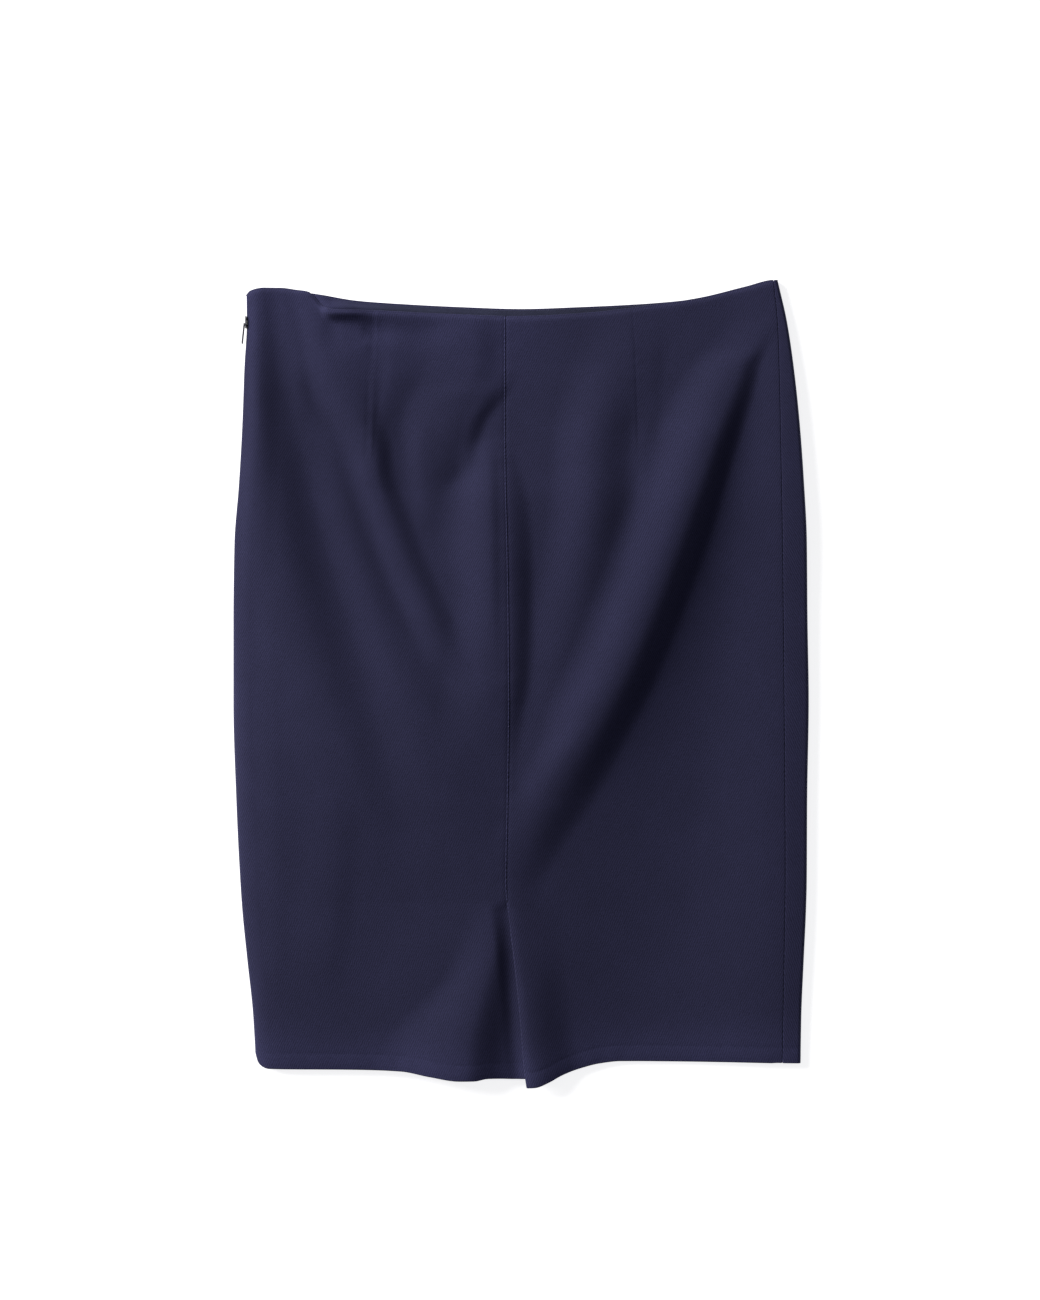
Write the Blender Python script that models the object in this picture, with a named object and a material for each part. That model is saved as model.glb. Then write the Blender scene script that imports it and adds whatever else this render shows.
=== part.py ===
"""A woman's navy pencil skirt, laid flat with its back side up.

The cloth is a wall between an outer surface and an inner one. The front lies on the surface
below, turns up along the left side seam, which holds the zip, and wraps round the right edge to
a side seam on top. The two halves of the back lie over it and meet at the centre back seam, and
below the vent the right half laps over the left.

Sizes in the tables are millimetres. +X is to the right, +Y runs from hem to waist and +Z is up.
The origin is on the surface below, under the middle of the outline.
"""

import math
from collections import namedtuple

import bmesh
import bpy
import numpy as np

MM = 0.001

# Cloth
CLOTH = 1.2  # thickness of one layer
HEM_DEPTH = 11.5  # the turned hem, down from its stitching
HEM_STEP = 1.5  # length over which the hem's second layer begins
HEM_EXTRA = 0.9  # what the turned layer adds to the wall
SEAM_GAP = 0.3  # between pieces that are sewn together
BACK_LEVEL = 4.8  # outer face of the back where no fold lifts it

# Side edges
ROLL = 7.5  # width over which the back turns down to the left seam
CURL = 2.6  # width over which the front turns up at either edge
LEFT_SEAM_LEVEL = 2.4  # height of the left seam near the hem
ZIP_SEAM_LEVEL = 3.8  # height of the left seam beside the zip
ZIP_GAP = 0.7  # between the two sides of the seam beside the zip

# Vent
VENT_TOP = -177.5
UNDERLAP_WIDTH = 38.0
UNDERLAP_DROP = 1.2  # how much further below the overlap it lies down from the vent's top
UNDERLAP_GAP = 0.5  # below the overlap at the vent's top
VENT_EXTRA = 0.8  # what the folded vent facing adds to the wall

# Waist facing
FACING_DEPTH = 36.0
FACING_INSET = 1.2
FACING_THICKNESS = 1.0
FACING_LEFT = -196.0
FACING_RIGHT = 188.0

# Zip
ZIP_TOP = 287.0
ZIP_BOTTOM = 95.0
CHAIN_INSET = 2.2  # from the seam's outer face to the chain
CHAIN_THICKNESS = 0.9
CHAIN_BELOW = 0.9
CHAIN_ABOVE = 0.5
SLIDER_Y = 281.9
SLIDER_LENGTH = 9.4
SLIDER_WIDTH = 5.6
SLIDER_THICKNESS = 1.0
BRIDGE_WIDTH = 1.8
PULL_LENGTH = 15.8  # from the crossbar to the tip
PULL_WIDTH = 4.8
PULL_THICKNESS = 1.0
FORK_DEPTH = 4.2
FORK_GAP = 0.35  # between the bridge and each arm of the pull
CROSSBAR_RADIUS = 0.4
CROSSBAR_OUT = 0.75  # from the slider's face to the crossbar
CROSSBAR_DOWN = 1.2  # from the slider's middle to the crossbar
PULL_TILT = 6.0  # degrees that the pull hangs away from the seam

# The outline, row by row: where each edge and seam lies at a height y
Section = namedtuple("Section", "y left centre seam right")
SECTIONS = (
    Section(-314, -207.3, 4.2, 203.6, 218.2),
    Section(-300, -207.3, 1.7, 203.8, 218.3),
    Section(-262, -209.0, -1.3, 204.4, 218.8),
    Section(-216, -213.7, -5.6, 205.2, 220.7),
    Section(-177, -217.6, -9.9, 205.8, 222.5),
    Section(-154, -219.2, -11.6, 206.1, 223.1),
    Section(-91, -222.3, -10.4, 205.9, 223.4),
    Section(-13, -224.6, -9.4, 205.2, 224.6),
    Section(50, -224.6, -9.8, 204.6, 223.6),
    Section(112, -223.8, -10.8, 203.8, 223.0),
    Section(158, -220.3, -12.0, 203.0, 220.7),
    Section(205, -217.6, -12.5, 202.2, 217.3),
    Section(252, -215.8, -12.5, 201.2, 212.2),
    Section(283, -214.0, -12.5, 200.0, 207.5),
    Section(314, -214.3, -12.5, 197.0, 200.5),
)

# The ends of each panel: the height y of its cut edge at x
Edge = namedtuple("Edge", "x y")
HEM_LEFT = (
    Edge(-207.5, -288.0),
    Edge(-204.5, -296.5),
    Edge(-197.0, -299.9),
    Edge(-141.0, -300.3),
    Edge(-94.0, -301.5),
    Edge(-71.0, -305.4),
    Edge(-48.0, -308.5),
    Edge(-36.0, -308.5),
    Edge(-26.0, -307.0),
    Edge(0.0, -307.6),
    Edge(16.0, -305.0),
    Edge(39.0, -297.5),
)
HEM_RIGHT = (
    Edge(3.9, -314.5),
    Edge(7.0, -313.4),
    Edge(18.7, -309.3),
    Edge(30.4, -303.8),
    Edge(46.0, -299.1),
    Edge(62.0, -295.6),
    Edge(78.0, -294.0),
    Edge(163.0, -294.8),
    Edge(218.0, -296.0),
)
HEM_FRONT = (
    Edge(-207.5, -288.0),
    Edge(-204.5, -296.5),
    Edge(-197.0, -298.6),
    Edge(-100.0, -298.6),
    Edge(0.0, -296.0),
    Edge(80.0, -292.6),
    Edge(163.0, -293.8),
    Edge(204.0, -295.8),
    Edge(218.0, -296.0),
)
WAIST_LEFT = (
    Edge(-214.5, 302.5),
    Edge(-211.4, 306.2),
    Edge(-200.0, 308.5),
    Edge(-188.0, 308.5),
    Edge(-176.0, 306.9),
    Edge(-166.0, 305.2),
    Edge(-161.0, 301.0),
    Edge(-154.0, 293.2),
    Edge(-146.0, 291.0),
    Edge(-116.0, 290.6),
    Edge(-63.0, 288.4),
    Edge(-12.5, 286.4),
)
WAIST_RIGHT = (
    Edge(-12.5, 286.4),
    Edge(7.0, 286.7),
    Edge(54.0, 289.4),
    Edge(100.0, 294.8),
    Edge(140.0, 300.9),
    Edge(175.0, 309.4),
    Edge(198.0, 314.6),
    Edge(200.5, 314.6),
)
WAIST_FRONT = (
    Edge(-214.5, 302.5),
    Edge(-211.4, 305.7),
    Edge(-200.0, 307.4),
    Edge(-188.0, 307.4),
    Edge(-176.0, 306.0),
    Edge(-153.0, 302.3),
    Edge(-129.0, 298.4),
    Edge(-94.0, 296.0),
    Edge(-48.0, 293.7),
    Edge(0.0, 292.2),
    Edge(46.0, 293.7),
    Edge(93.0, 296.0),
    Edge(128.0, 299.0),
    Edge(151.0, 303.0),
    Edge(175.0, 308.4),
    Edge(198.0, 314.3),
    Edge(200.5, 314.6),
)

# Height of the left seam, and width of the slit beside it
Seam = namedtuple("Seam", "y level gap")
LEFT_SEAM = (
    Seam(20, LEFT_SEAM_LEVEL, SEAM_GAP),
    Seam(ZIP_BOTTOM, 2.6, SEAM_GAP),
    Seam(210, 3.0, ZIP_GAP),
    Seam(262, ZIP_SEAM_LEVEL, ZIP_GAP),
    Seam(314, ZIP_SEAM_LEVEL, ZIP_GAP),
)

# Folds of the back: the crest runs through x at each height y, and the cloth falls to nothing
# over the widths left and right of it. A lower skew puts the steepest fall nearer the crest.
Crest = namedtuple("Crest", "y x height left right")
Fold = namedtuple("Fold", "name panels skew crests")
BOTH = ("left", "right")
FOLDS = (
    Fold("right hip to vent", BOTH, 1.45, (
        Crest(-150, -10.0, 0.0, 28, 30),
        Crest(-114, 4.0, 0.8, 28, 38),
        Crest(-91, 16.0, 1.8, 29, 41),
        Crest(-67, 30.0, 3.4, 33, 41),
        Crest(-44, 44.5, 5.1, 38, 39),
        Crest(-21, 58.0, 6.1, 46, 37),
        Crest(3, 71.5, 7.1, 46, 35),
        Crest(65, 99.0, 8.7, 46, 31.5),
        Crest(128, 123.5, 9.6, 48, 28.5),
        Crest(190, 145.0, 9.0, 48, 26),
        Crest(221, 156.0, 6.8, 44, 25),
        Crest(237, 162.0, 5.0, 40, 24),
        Crest(250, 168.0, 3.2, 36, 23),
        Crest(266, 177.0, 1.5, 32, 22),
        Crest(290, 188.0, 0.0, 27, 20),
    )),
    Fold("inner right", BOTH, 1.0, (
        Crest(-30, 14.0, 0.0, 34, 26),
        Crest(10, 25.0, 1.2, 34, 28),
        Crest(50, 38.0, 2.4, 35, 32),
        Crest(96, 49.0, 4.0, 36, 35),
        Crest(143, 56.0, 5.2, 36, 36),
        Crest(190, 57.0, 4.8, 34, 37),
        Crest(213, 63.0, 4.0, 36, 40),
        Crest(237, 71.0, 2.8, 40, 42),
        Crest(290, 90.0, 0.0, 40, 36),
    )),
    Fold("centre back", BOTH, 1.7, (
        Crest(-92, -22.0, 0.0, 60, 22),
        Crest(-60, -20.0, 2.2, 60, 23),
        Crest(-28, -18.5, 4.6, 58, 24),
        Crest(3, -17.5, 5.8, 52, 27),
        Crest(34, -17.5, 5.6, 42, 28),
        Crest(65, -17.5, 5.0, 38, 28),
        Crest(96, -18.5, 4.8, 40, 29),
        Crest(120, -19.5, 3.8, 40, 29),
        Crest(143, -21.0, 3.0, 38, 28),
        Crest(167, -23.0, 1.8, 32, 24),
        Crest(190, -25.0, 0.0, 28, 20),
    )),
    Fold("rise to the centre", BOTH, 1.0, (
        Crest(10, -22.0, 0.0, 44, 300),
        Crest(60, -20.0, 1.8, 46, 300),
        Crest(100, -20.0, 4.4, 48, 300),
        Crest(143, -20.0, 6.2, 46, 300),
        Crest(170, -20.0, 4.2, 30, 300),
        Crest(215, -16.0, 1.0, 30, 300),
        Crest(250, -14.0, 0.0, 40, 300),
    )),
    Fold("short slant under the waist", BOTH, 1.3, (
        Crest(158, -52.0, 0.0, 34, 16),
        Crest(180, -48.0, 2.0, 38, 15),
        Crest(205, -42.0, 3.3, 52, 17),
        Crest(224, -33.0, 2.9, 58, 23),
        Crest(238, -28.0, 1.2, 60, 28),
        Crest(254, -24.0, 0.0, 60, 30),
    )),
    Fold("right of the left dart", ("left",), 1.0, (
        Crest(118, -70.0, 0.0, 18, 30),
        Crest(145, -72.0, 1.8, 19, 30),
        Crest(180, -76.0, 2.6, 18, 40),
        Crest(212, -68.0, 2.4, 32, 50),
        Crest(232, -44.0, 2.8, 60, 30),
        Crest(250, -34.0, 3.6, 78, 21),
        Crest(272, -36.0, 2.4, 72, 23),
        Crest(298, -40.0, 0.0, 66, 26),
    )),
    Fold("inner left", BOTH, 1.0, (
        Crest(5, -52.0, 0.0, 22, 20),
        Crest(34, -63.0, 2.0, 22, 20),
        Crest(96, -91.0, 3.4, 23, 20),
        Crest(128, -103.0, 3.8, 24, 20),
        Crest(159, -112.5, 4.2, 25, 17),
        Crest(190, -118.0, 4.0, 28, 17),
        Crest(221, -135.0, 3.8, 29, 40),
        Crest(252, -149.0, 4.3, 34, 62),
        Crest(280, -150.0, 4.5, 40, 90),
        Crest(312, -150.0, 4.4, 44, 90),
    )),
    Fold("middle left", BOTH, 1.0, (
        Crest(-110, -52.0, 0.0, 44, 46),
        Crest(-50, -74.0, 0.6, 36, 64),
        Crest(-25, -84.0, 1.0, 32, 52),
        Crest(3, -93.5, 1.7, 28, 34),
        Crest(65, -116.0, 2.5, 26, 24),
        Crest(128, -136.5, 2.2, 24, 22),
        Crest(200, -156.0, 0.0, 22, 20),
    )),
    Fold("outer left", BOTH, 1.0, (
        Crest(-150, -112.0, 0.0, 60, 34),
        Crest(-85, -128.0, 1.6, 58, 34),
        Crest(-28, -146.0, 3.0, 52, 36),
        Crest(50, -170.0, 3.4, 44, 36),
        Crest(112, -187.0, 3.4, 34, 34),
        Crest(174, -197.0, 3.4, 26, 30),
        Crest(221, -203.0, 3.0, 18, 26),
        Crest(268, -205.0, 2.0, 16, 28),
        Crest(320, -206.0, 1.2, 14, 28),
    )),
    Fold("along the left side", ("left",), 1.0, (
        Crest(-330, -182.0, 1.4, 26, 70),
        Crest(-230, -188.0, 1.8, 30, 80),
        Crest(-160, -188.0, 2.7, 34, 110),
        Crest(-60, -188.0, 3.6, 38, 110),
        Crest(50, -192.0, 3.9, 34, 70),
        Crest(120, -196.0, 3.0, 30, 50),
        Crest(180, -198.0, 0.8, 28, 40),
        Crest(220, -198.0, 0.0, 28, 40),
    )),
    Fold("beside the zip", BOTH, 1.0, (
        Crest(40, -214.0, 0.0, 14, 20),
        Crest(100, -213.0, 1.6, 16, 22),
        Crest(174, -210.0, 2.2, 16, 22),
        Crest(240, -207.0, 1.2, 14, 18),
        Crest(320, -207.0, 0.8, 14, 18),
    )),
    Fold("fullness of the left half", BOTH, 0.85, (
        Crest(-320, -6.0, 3.6, 300, 100),
        Crest(-262, -8.0, 6.2, 300, 120),
        Crest(-200, -10.0, 8.0, 300, 135),
        Crest(-150, -6.0, 8.0, 300, 145),
        Crest(-91, 14.0, 6.4, 300, 140),
        Crest(-30, 50.0, 4.6, 300, 110),
        Crest(40, 88.0, 3.2, 300, 80),
        Crest(110, 112.0, 2.2, 300, 60),
        Crest(180, 134.0, 1.2, 300, 50),
        Crest(250, 150.0, 0.0, 300, 50),
    )),
    Fold("left of the vent", ("left",), 1.0, (
        Crest(-320, -45.0, 8.8, 76, 36),
        Crest(-278, -41.0, 8.0, 68, 35),
        Crest(-247, -33.0, 5.8, 46, 29),
        Crest(-231, -28.0, 4.4, 36, 24),
        Crest(-200, -20.0, 2.0, 30, 18),
        Crest(-168, -16.0, 0.0, 24, 16),
    )),
    Fold("vent overlap", ("right",), 1.0, (
        Crest(-320, 15.0, 6.0, 26, 36),
        Crest(-294, 11.0, 5.4, 25, 34),
        Crest(-247, 5.0, 3.8, 24, 34),
        Crest(-200, 0.0, 1.4, 24, 34),
        Crest(-160, -3.0, 0.0, 24, 34),
    )),
    Fold("along the right side", BOTH, 1.0, (
        Crest(-310, 196.0, 2.0, 74, 60),
        Crest(-200, 200.0, 3.6, 78, 60),
        Crest(-60, 208.0, 3.6, 74, 60),
        Crest(60, 214.0, 4.4, 74, 60),
        Crest(120, 216.0, 5.4, 72, 60),
        Crest(220, 212.0, 4.6, 54, 60),
        Crest(300, 206.0, 2.2, 50, 60),
    )),
    Fold("step at the end of the long fold", BOTH, 1.3, (
        Crest(-250, -22.0, 0.0, 300, 34),
        Crest(-190, -19.0, 0.7, 300, 34),
        Crest(-160, -15.0, 1.5, 300, 34),
        Crest(-138, -8.0, 2.6, 300, 37),
        Crest(-114, 2.0, 4.0, 300, 42),
        Crest(-91, 13.0, 4.8, 300, 47),
        Crest(-67, 28.0, 4.9, 300, 45),
        Crest(-44, 43.0, 4.5, 300, 41),
        Crest(-10, 64.0, 3.9, 300, 37),
        Crest(40, 88.0, 2.6, 300, 33),
        Crest(110, 117.0, 1.0, 300, 30),
        Crest(180, 141.0, 0.0, 300, 28),
    )),
    Fold("under the left waist", ("left",), 1.0, (
        Crest(60, -110.0, 0.0, 80, 90),
        Crest(150, -108.0, 1.0, 80, 110),
        Crest(205, -106.0, 2.2, 84, 140),
        Crest(236, -106.0, 3.2, 86, 150),
        Crest(262, -106.0, 1.2, 86, 150),
        Crest(278, -106.0, 0.0, 86, 150),
    )),
    Fold("slack left of the long fold", BOTH, 1.0, (
        Crest(-170, -44.0, 0.0, 300, 60),
        Crest(-125, -54.0, 1.8, 300, 62),
        Crest(-85, -76.0, 4.2, 300, 80),
        Crest(-45, -92.0, 5.4, 300, 94),
        Crest(-10, -92.0, 5.0, 300, 92),
        Crest(40, -88.0, 3.4, 300, 88),
        Crest(90, -84.0, 1.6, 300, 80),
        Crest(150, -84.0, 0.0, 300, 80),
    )),
)


def column(table, name):
    return np.array([getattr(row, name) for row in table], float)


def read(table, key, name, at):
    """One column of a table as a smooth curve against another, level beyond the table's ends."""
    keys, values = column(table, key), column(table, name)
    steps = np.diff(keys)
    rises = np.diff(values) / steps
    slopes = np.zeros(len(keys))
    same_way = rises[:-1] * rises[1:] > 0
    near, far = 2 * steps[1:] + steps[:-1], steps[1:] + 2 * steps[:-1]
    before = np.where(same_way, rises[:-1], 1.0)
    after = np.where(same_way, rises[1:], 1.0)
    slopes[1:-1] = np.where(same_way, (near + far) / (near / before + far / after), 0.0)
    slopes[0], slopes[-1] = rises[0], rises[-1]
    at = np.clip(np.asarray(at, float), keys[0], keys[-1])
    i = np.clip(np.searchsorted(keys, at) - 1, 0, len(steps) - 1)
    t = (at - keys[i]) / steps[i]
    rest = 1 - t
    ends = values[i] * rest**2 * (1 + 2 * t) + values[i + 1] * t**2 * (3 - 2 * t)
    return ends + steps[i] * t * rest * (slopes[i] * rest - slopes[i + 1] * t)


def ease(value, start, end):
    """0 before start, 1 after end, and smooth between them."""
    t = np.clip((value - start) / (end - start), 0, 1)
    return t * t * (3 - 2 * t)


def mix(a, b, t):
    return a + (b - a) * t


def ridge(fold, x, y):
    side = x - read(fold.crests, "y", "x", y)
    left = read(fold.crests, "y", "left", y)
    right = read(fold.crests, "y", "right", y)
    reach = np.clip(np.abs(side) / np.where(side < 0, left, right), 0, 1)
    reach = np.where(side > 0, reach**fold.skew, reach)
    return read(fold.crests, "y", "height", y) * (0.5 + 0.5 * np.cos(np.pi * reach))


def level(panel, x, y):
    """Height of the outer face of the back's left or right half."""
    return BACK_LEVEL + sum(ridge(fold, x, y) for fold in FOLDS if panel in fold.panels)


def left_level(x, y):
    """The left half dips under the overlap beside the vent, close below it at the vent's top."""
    centre = read(SECTIONS, "y", "centre", y)
    below = np.maximum(ease(-y, -VENT_TOP - 10, -VENT_TOP), ease(x, centre, centre + 6))
    dip = below * ease(x, centre - 14, centre - 1)
    close_below = level("right", x, y) - CLOTH - UNDERLAP_GAP
    underlap = close_below - UNDERLAP_DROP * ease(-y, -VENT_TOP + 3, -VENT_TOP + 38)
    return mix(level("left", x, y), underlap, dip)


def height_between(hem, waist, x, v):
    """y at the share v of the way from the hem to the waist, at x."""
    return mix(read(hem, "x", "y", x), read(waist, "x", "y", x), v)


def edge_at(name, hem, waist, x, v):
    """x of an edge at the share v of the way from the hem to the waist, near x."""
    return read(SECTIONS, "y", name, height_between(hem, waist, x, v))


def hem_layer(hem, x, y, edge_distance):
    """What the turned hem adds to the wall; it tapers out at the side edges."""
    above = y - read(hem, "x", "y", x)
    return HEM_EXTRA * (1 - ease(above, HEM_DEPTH, HEM_DEPTH + HEM_STEP)) * ease(edge_distance, 3, 9)


def place_back_left(t, v):
    """t is 0 to 1 round the left roll, 1 to 2 across the panel and 2 to 3 over the underlap."""
    edge = edge_at("left", HEM_LEFT, WAIST_LEFT, -211.0, v)
    centre = edge_at("centre", HEM_LEFT, WAIST_LEFT, -10.0, v) - SEAM_GAP / 2
    angle = np.clip(t, -1, 1) * math.pi / 2
    x = edge + ROLL * (1 - np.cos(angle))
    x = np.where(t > 1, mix(edge + ROLL, centre, t - 1), x)
    x = np.where(t > 2, centre + UNDERLAP_WIDTH * (t - 2), x)
    y = height_between(HEM_LEFT, WAIST_LEFT, x, v)
    seam = read(LEFT_SEAM, "y", "level", y) + read(LEFT_SEAM, "y", "gap", y) / 2
    z = mix(seam, left_level(x, y), np.where(t < 1, np.sin(angle), 1.0))
    wall = CLOTH + hem_layer(HEM_LEFT, x, y, x - edge)
    return x, y, z, wall


def place_back_right(t, v):
    """t is 0 at the centre back seam or the vent's edge and 1 at the side seam."""
    start = edge_at("centre", HEM_RIGHT, WAIST_RIGHT, -10.0, v) + SEAM_GAP / 2
    end = edge_at("seam", HEM_RIGHT, WAIST_RIGHT, 203.0, v) - SEAM_GAP / 2
    x = mix(start, end, t)
    y = height_between(HEM_RIGHT, WAIST_RIGHT, x, v)
    facing = VENT_EXTRA * ease(-y, -VENT_TOP + 8, -VENT_TOP + 24)
    facing *= 1 - ease(x - start, UNDERLAP_WIDTH - 6, UNDERLAP_WIDTH - 2)
    wall = CLOTH + np.maximum(facing, hem_layer(HEM_RIGHT, x, y, end - x))
    return x, y, level("right", x, y), wall


def place_front(t, v):
    """t is 0 to 1 down the left curl, 1 to 2 underneath, 2 to 3 round the right edge and 3 to 4
    over the top to the side seam."""
    left = edge_at("left", HEM_FRONT, WAIST_FRONT, -211.0, v)
    right = edge_at("right", HEM_FRONT, WAIST_FRONT, 210.0, v)
    seam = edge_at("seam", HEM_FRONT, WAIST_FRONT, 203.0, v) + SEAM_GAP / 2
    curl = np.clip(t, -1, 1) * math.pi / 2
    wrap = (np.clip(t, 2, 3) - 2.5) * math.pi
    x = left + CURL * (1 - np.cos(curl))
    x = np.where(t > 1, mix(left + CURL, right - CURL, t - 1), x)
    x = np.where(t > 2, right - CURL + CURL * np.cos(wrap), x)
    x = np.where(t > 3, mix(right - CURL, seam, t - 3), x)
    y = height_between(HEM_FRONT, WAIST_FRONT, x, v)
    top = read(LEFT_SEAM, "y", "level", y) - read(LEFT_SEAM, "y", "gap", y) / 2
    z = np.where(t < 1, top * (1 - np.sin(curl)), 0.0)
    z = np.where(t > 2, level("right", x, y) * (0.5 + 0.5 * np.sin(wrap)), z)
    wall = CLOTH + hem_layer(HEM_FRONT, x, y, np.minimum(x - left, seam - 4 - x))
    return x, y, z, wall


def place_facing(t, v):
    x = mix(FACING_LEFT, FACING_RIGHT, t)
    y = read(WAIST_FRONT, "x", "y", x) - FACING_INSET - FACING_DEPTH * (1 - v)
    z = CLOTH + SEAM_GAP + FACING_THICKNESS + 0 * y
    return x, y, z, FACING_THICKNESS + 0 * y


def place_chain(t, v):
    """The closed zip's chain: t runs up across it and v along the seam to the waist."""
    y = mix(ZIP_BOTTOM, ZIP_TOP, v)
    x = read(SECTIONS, "y", "left", y) + CHAIN_INSET + 0 * t
    middle = read(LEFT_SEAM, "y", "level", y)
    z = middle + mix(-CHAIN_BELOW, CHAIN_ABOVE, t)
    return x, y + 0 * t, z, CHAIN_THICKNESS + 0 * y


def steps(start, end, count):
    return [start + (end - start) * i / count for i in range(count)]


def wall_object(name, place, columns, rows, material, outward=1, present=None):
    """A closed wall: the outer points from place, the inner ones a wall's thickness behind them.

    present says which cells of the grid are cloth, and outward turns the wall's outer side."""
    t, v = np.meshgrid(np.array(columns, float), np.array(rows, float))
    nudge = 1e-4
    along = np.stack(place(t + nudge, v)[:3], -1) - np.stack(place(t - nudge, v)[:3], -1)
    up = np.stack(place(t, v + nudge)[:3], -1) - np.stack(place(t, v - nudge)[:3], -1)
    normal = np.cross(along, up) * outward
    normal /= np.linalg.norm(normal, axis=-1, keepdims=True)
    x, y, z, wall = place(t, v)
    outer = np.stack((x, y, z), -1)
    inner = outer - normal * wall[..., None]

    mesh = bmesh.new()
    count = len(columns)
    faces = [[mesh.verts.new(p * MM) for p in side.reshape(-1, 3)] for side in (outer, inner)]
    edges = {}
    for j in range(len(rows) - 1):
        for i in range(count - 1):
            if present and not present(columns[i], rows[j]):
                continue
            corners = [j * count + i, j * count + i + 1, (j + 1) * count + i + 1, (j + 1) * count + i]
            if outward < 0:
                corners.reverse()
            mesh.faces.new([faces[0][k] for k in corners])
            mesh.faces.new([faces[1][k] for k in reversed(corners)])
            for a, b in zip(corners, corners[1:] + corners[:1]):
                if (b, a) in edges:
                    del edges[b, a]
                else:
                    edges[a, b] = True
    for a, b in edges:
        mesh.faces.new([faces[0][b], faces[0][a], faces[1][a], faces[1][b]])
    loose = [vert for vert in mesh.verts if not vert.link_faces]
    bmesh.ops.delete(mesh, geom=loose, context="VERTS")
    return add_object(name, mesh, material)


def add_object(name, mesh, material):
    data = bpy.data.meshes.new(name)
    mesh.to_mesh(data)
    mesh.free()
    data.materials.append(material)
    obj = bpy.data.objects.new(name, data)
    bpy.context.scene.collection.objects.link(obj)
    return obj


def extruded(name, outline, low, high, material, axis="z"):
    """A closed plate: an outline of (x, y) in mm between two heights, or of (z, y) between two x."""
    mesh = bmesh.new()
    rings = []
    for end in (low, high):
        points = [(a, b, end) if axis == "z" else (end, b, a) for a, b in outline]
        rings.append([mesh.verts.new([c * MM for c in point]) for point in points])
    mesh.faces.new(rings[0])
    mesh.faces.new(rings[1])
    count = len(outline)
    for i in range(count):
        j = (i + 1) % count
        mesh.faces.new([rings[0][i], rings[0][j], rings[1][j], rings[1][i]])
    bmesh.ops.recalc_face_normals(mesh, faces=mesh.faces)
    return add_object(name, mesh, material)


def join(obj, helper):
    """Unites a helper with an object and leaves the helper out of the model."""
    union = obj.modifiers.new(helper.name, "BOOLEAN")
    union.operation = "UNION"
    union.object = helper
    helper.hide_render = True
    helper.display_type = "WIRE"


def new_material(name, color, roughness, metallic=0.0):
    material = bpy.data.materials.new(name)
    material.use_nodes = True
    shader = material.node_tree.nodes["Principled BSDF"]
    shader.inputs["Base Color"].default_value = (*color, 1)
    shader.inputs["Roughness"].default_value = roughness
    shader.inputs["Metallic"].default_value = metallic
    return material


def build_panels(cloth):
    vent_v = (VENT_TOP + 307.6) / (286.4 + 307.6)
    hem_v = (HEM_DEPTH / 600, (HEM_DEPTH + HEM_STEP) / 600)
    left_rows = [0, *hem_v, *steps(0.045, vent_v, 8), *steps(vent_v, 1, 32), 1]
    left_columns = [*steps(0, 1, 5), *steps(1, 2, 28), *steps(2, 3, 5), 3]
    wall_object(
        "back_left",
        place_back_left,
        left_columns,
        left_rows,
        cloth,
        present=lambda column, row: column < 1.999 or row < vent_v - 1e-6,
    )
    right_rows = [0, *hem_v, *steps(0.045, 1, 40), 1]
    wall_object("back_right", place_back_right, [*steps(0, 1, 32), 1], right_rows, cloth)
    front_columns = [*steps(0, 1, 4), *steps(1, 2, 14), *steps(2, 3, 8), *steps(3, 4, 3), 4]
    front_rows = [0, *hem_v, *steps(0.06, 0.94, 19), *steps(0.94, 1, 2), 1]
    wall_object("front", place_front, front_columns, front_rows, cloth, outward=-1)


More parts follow.
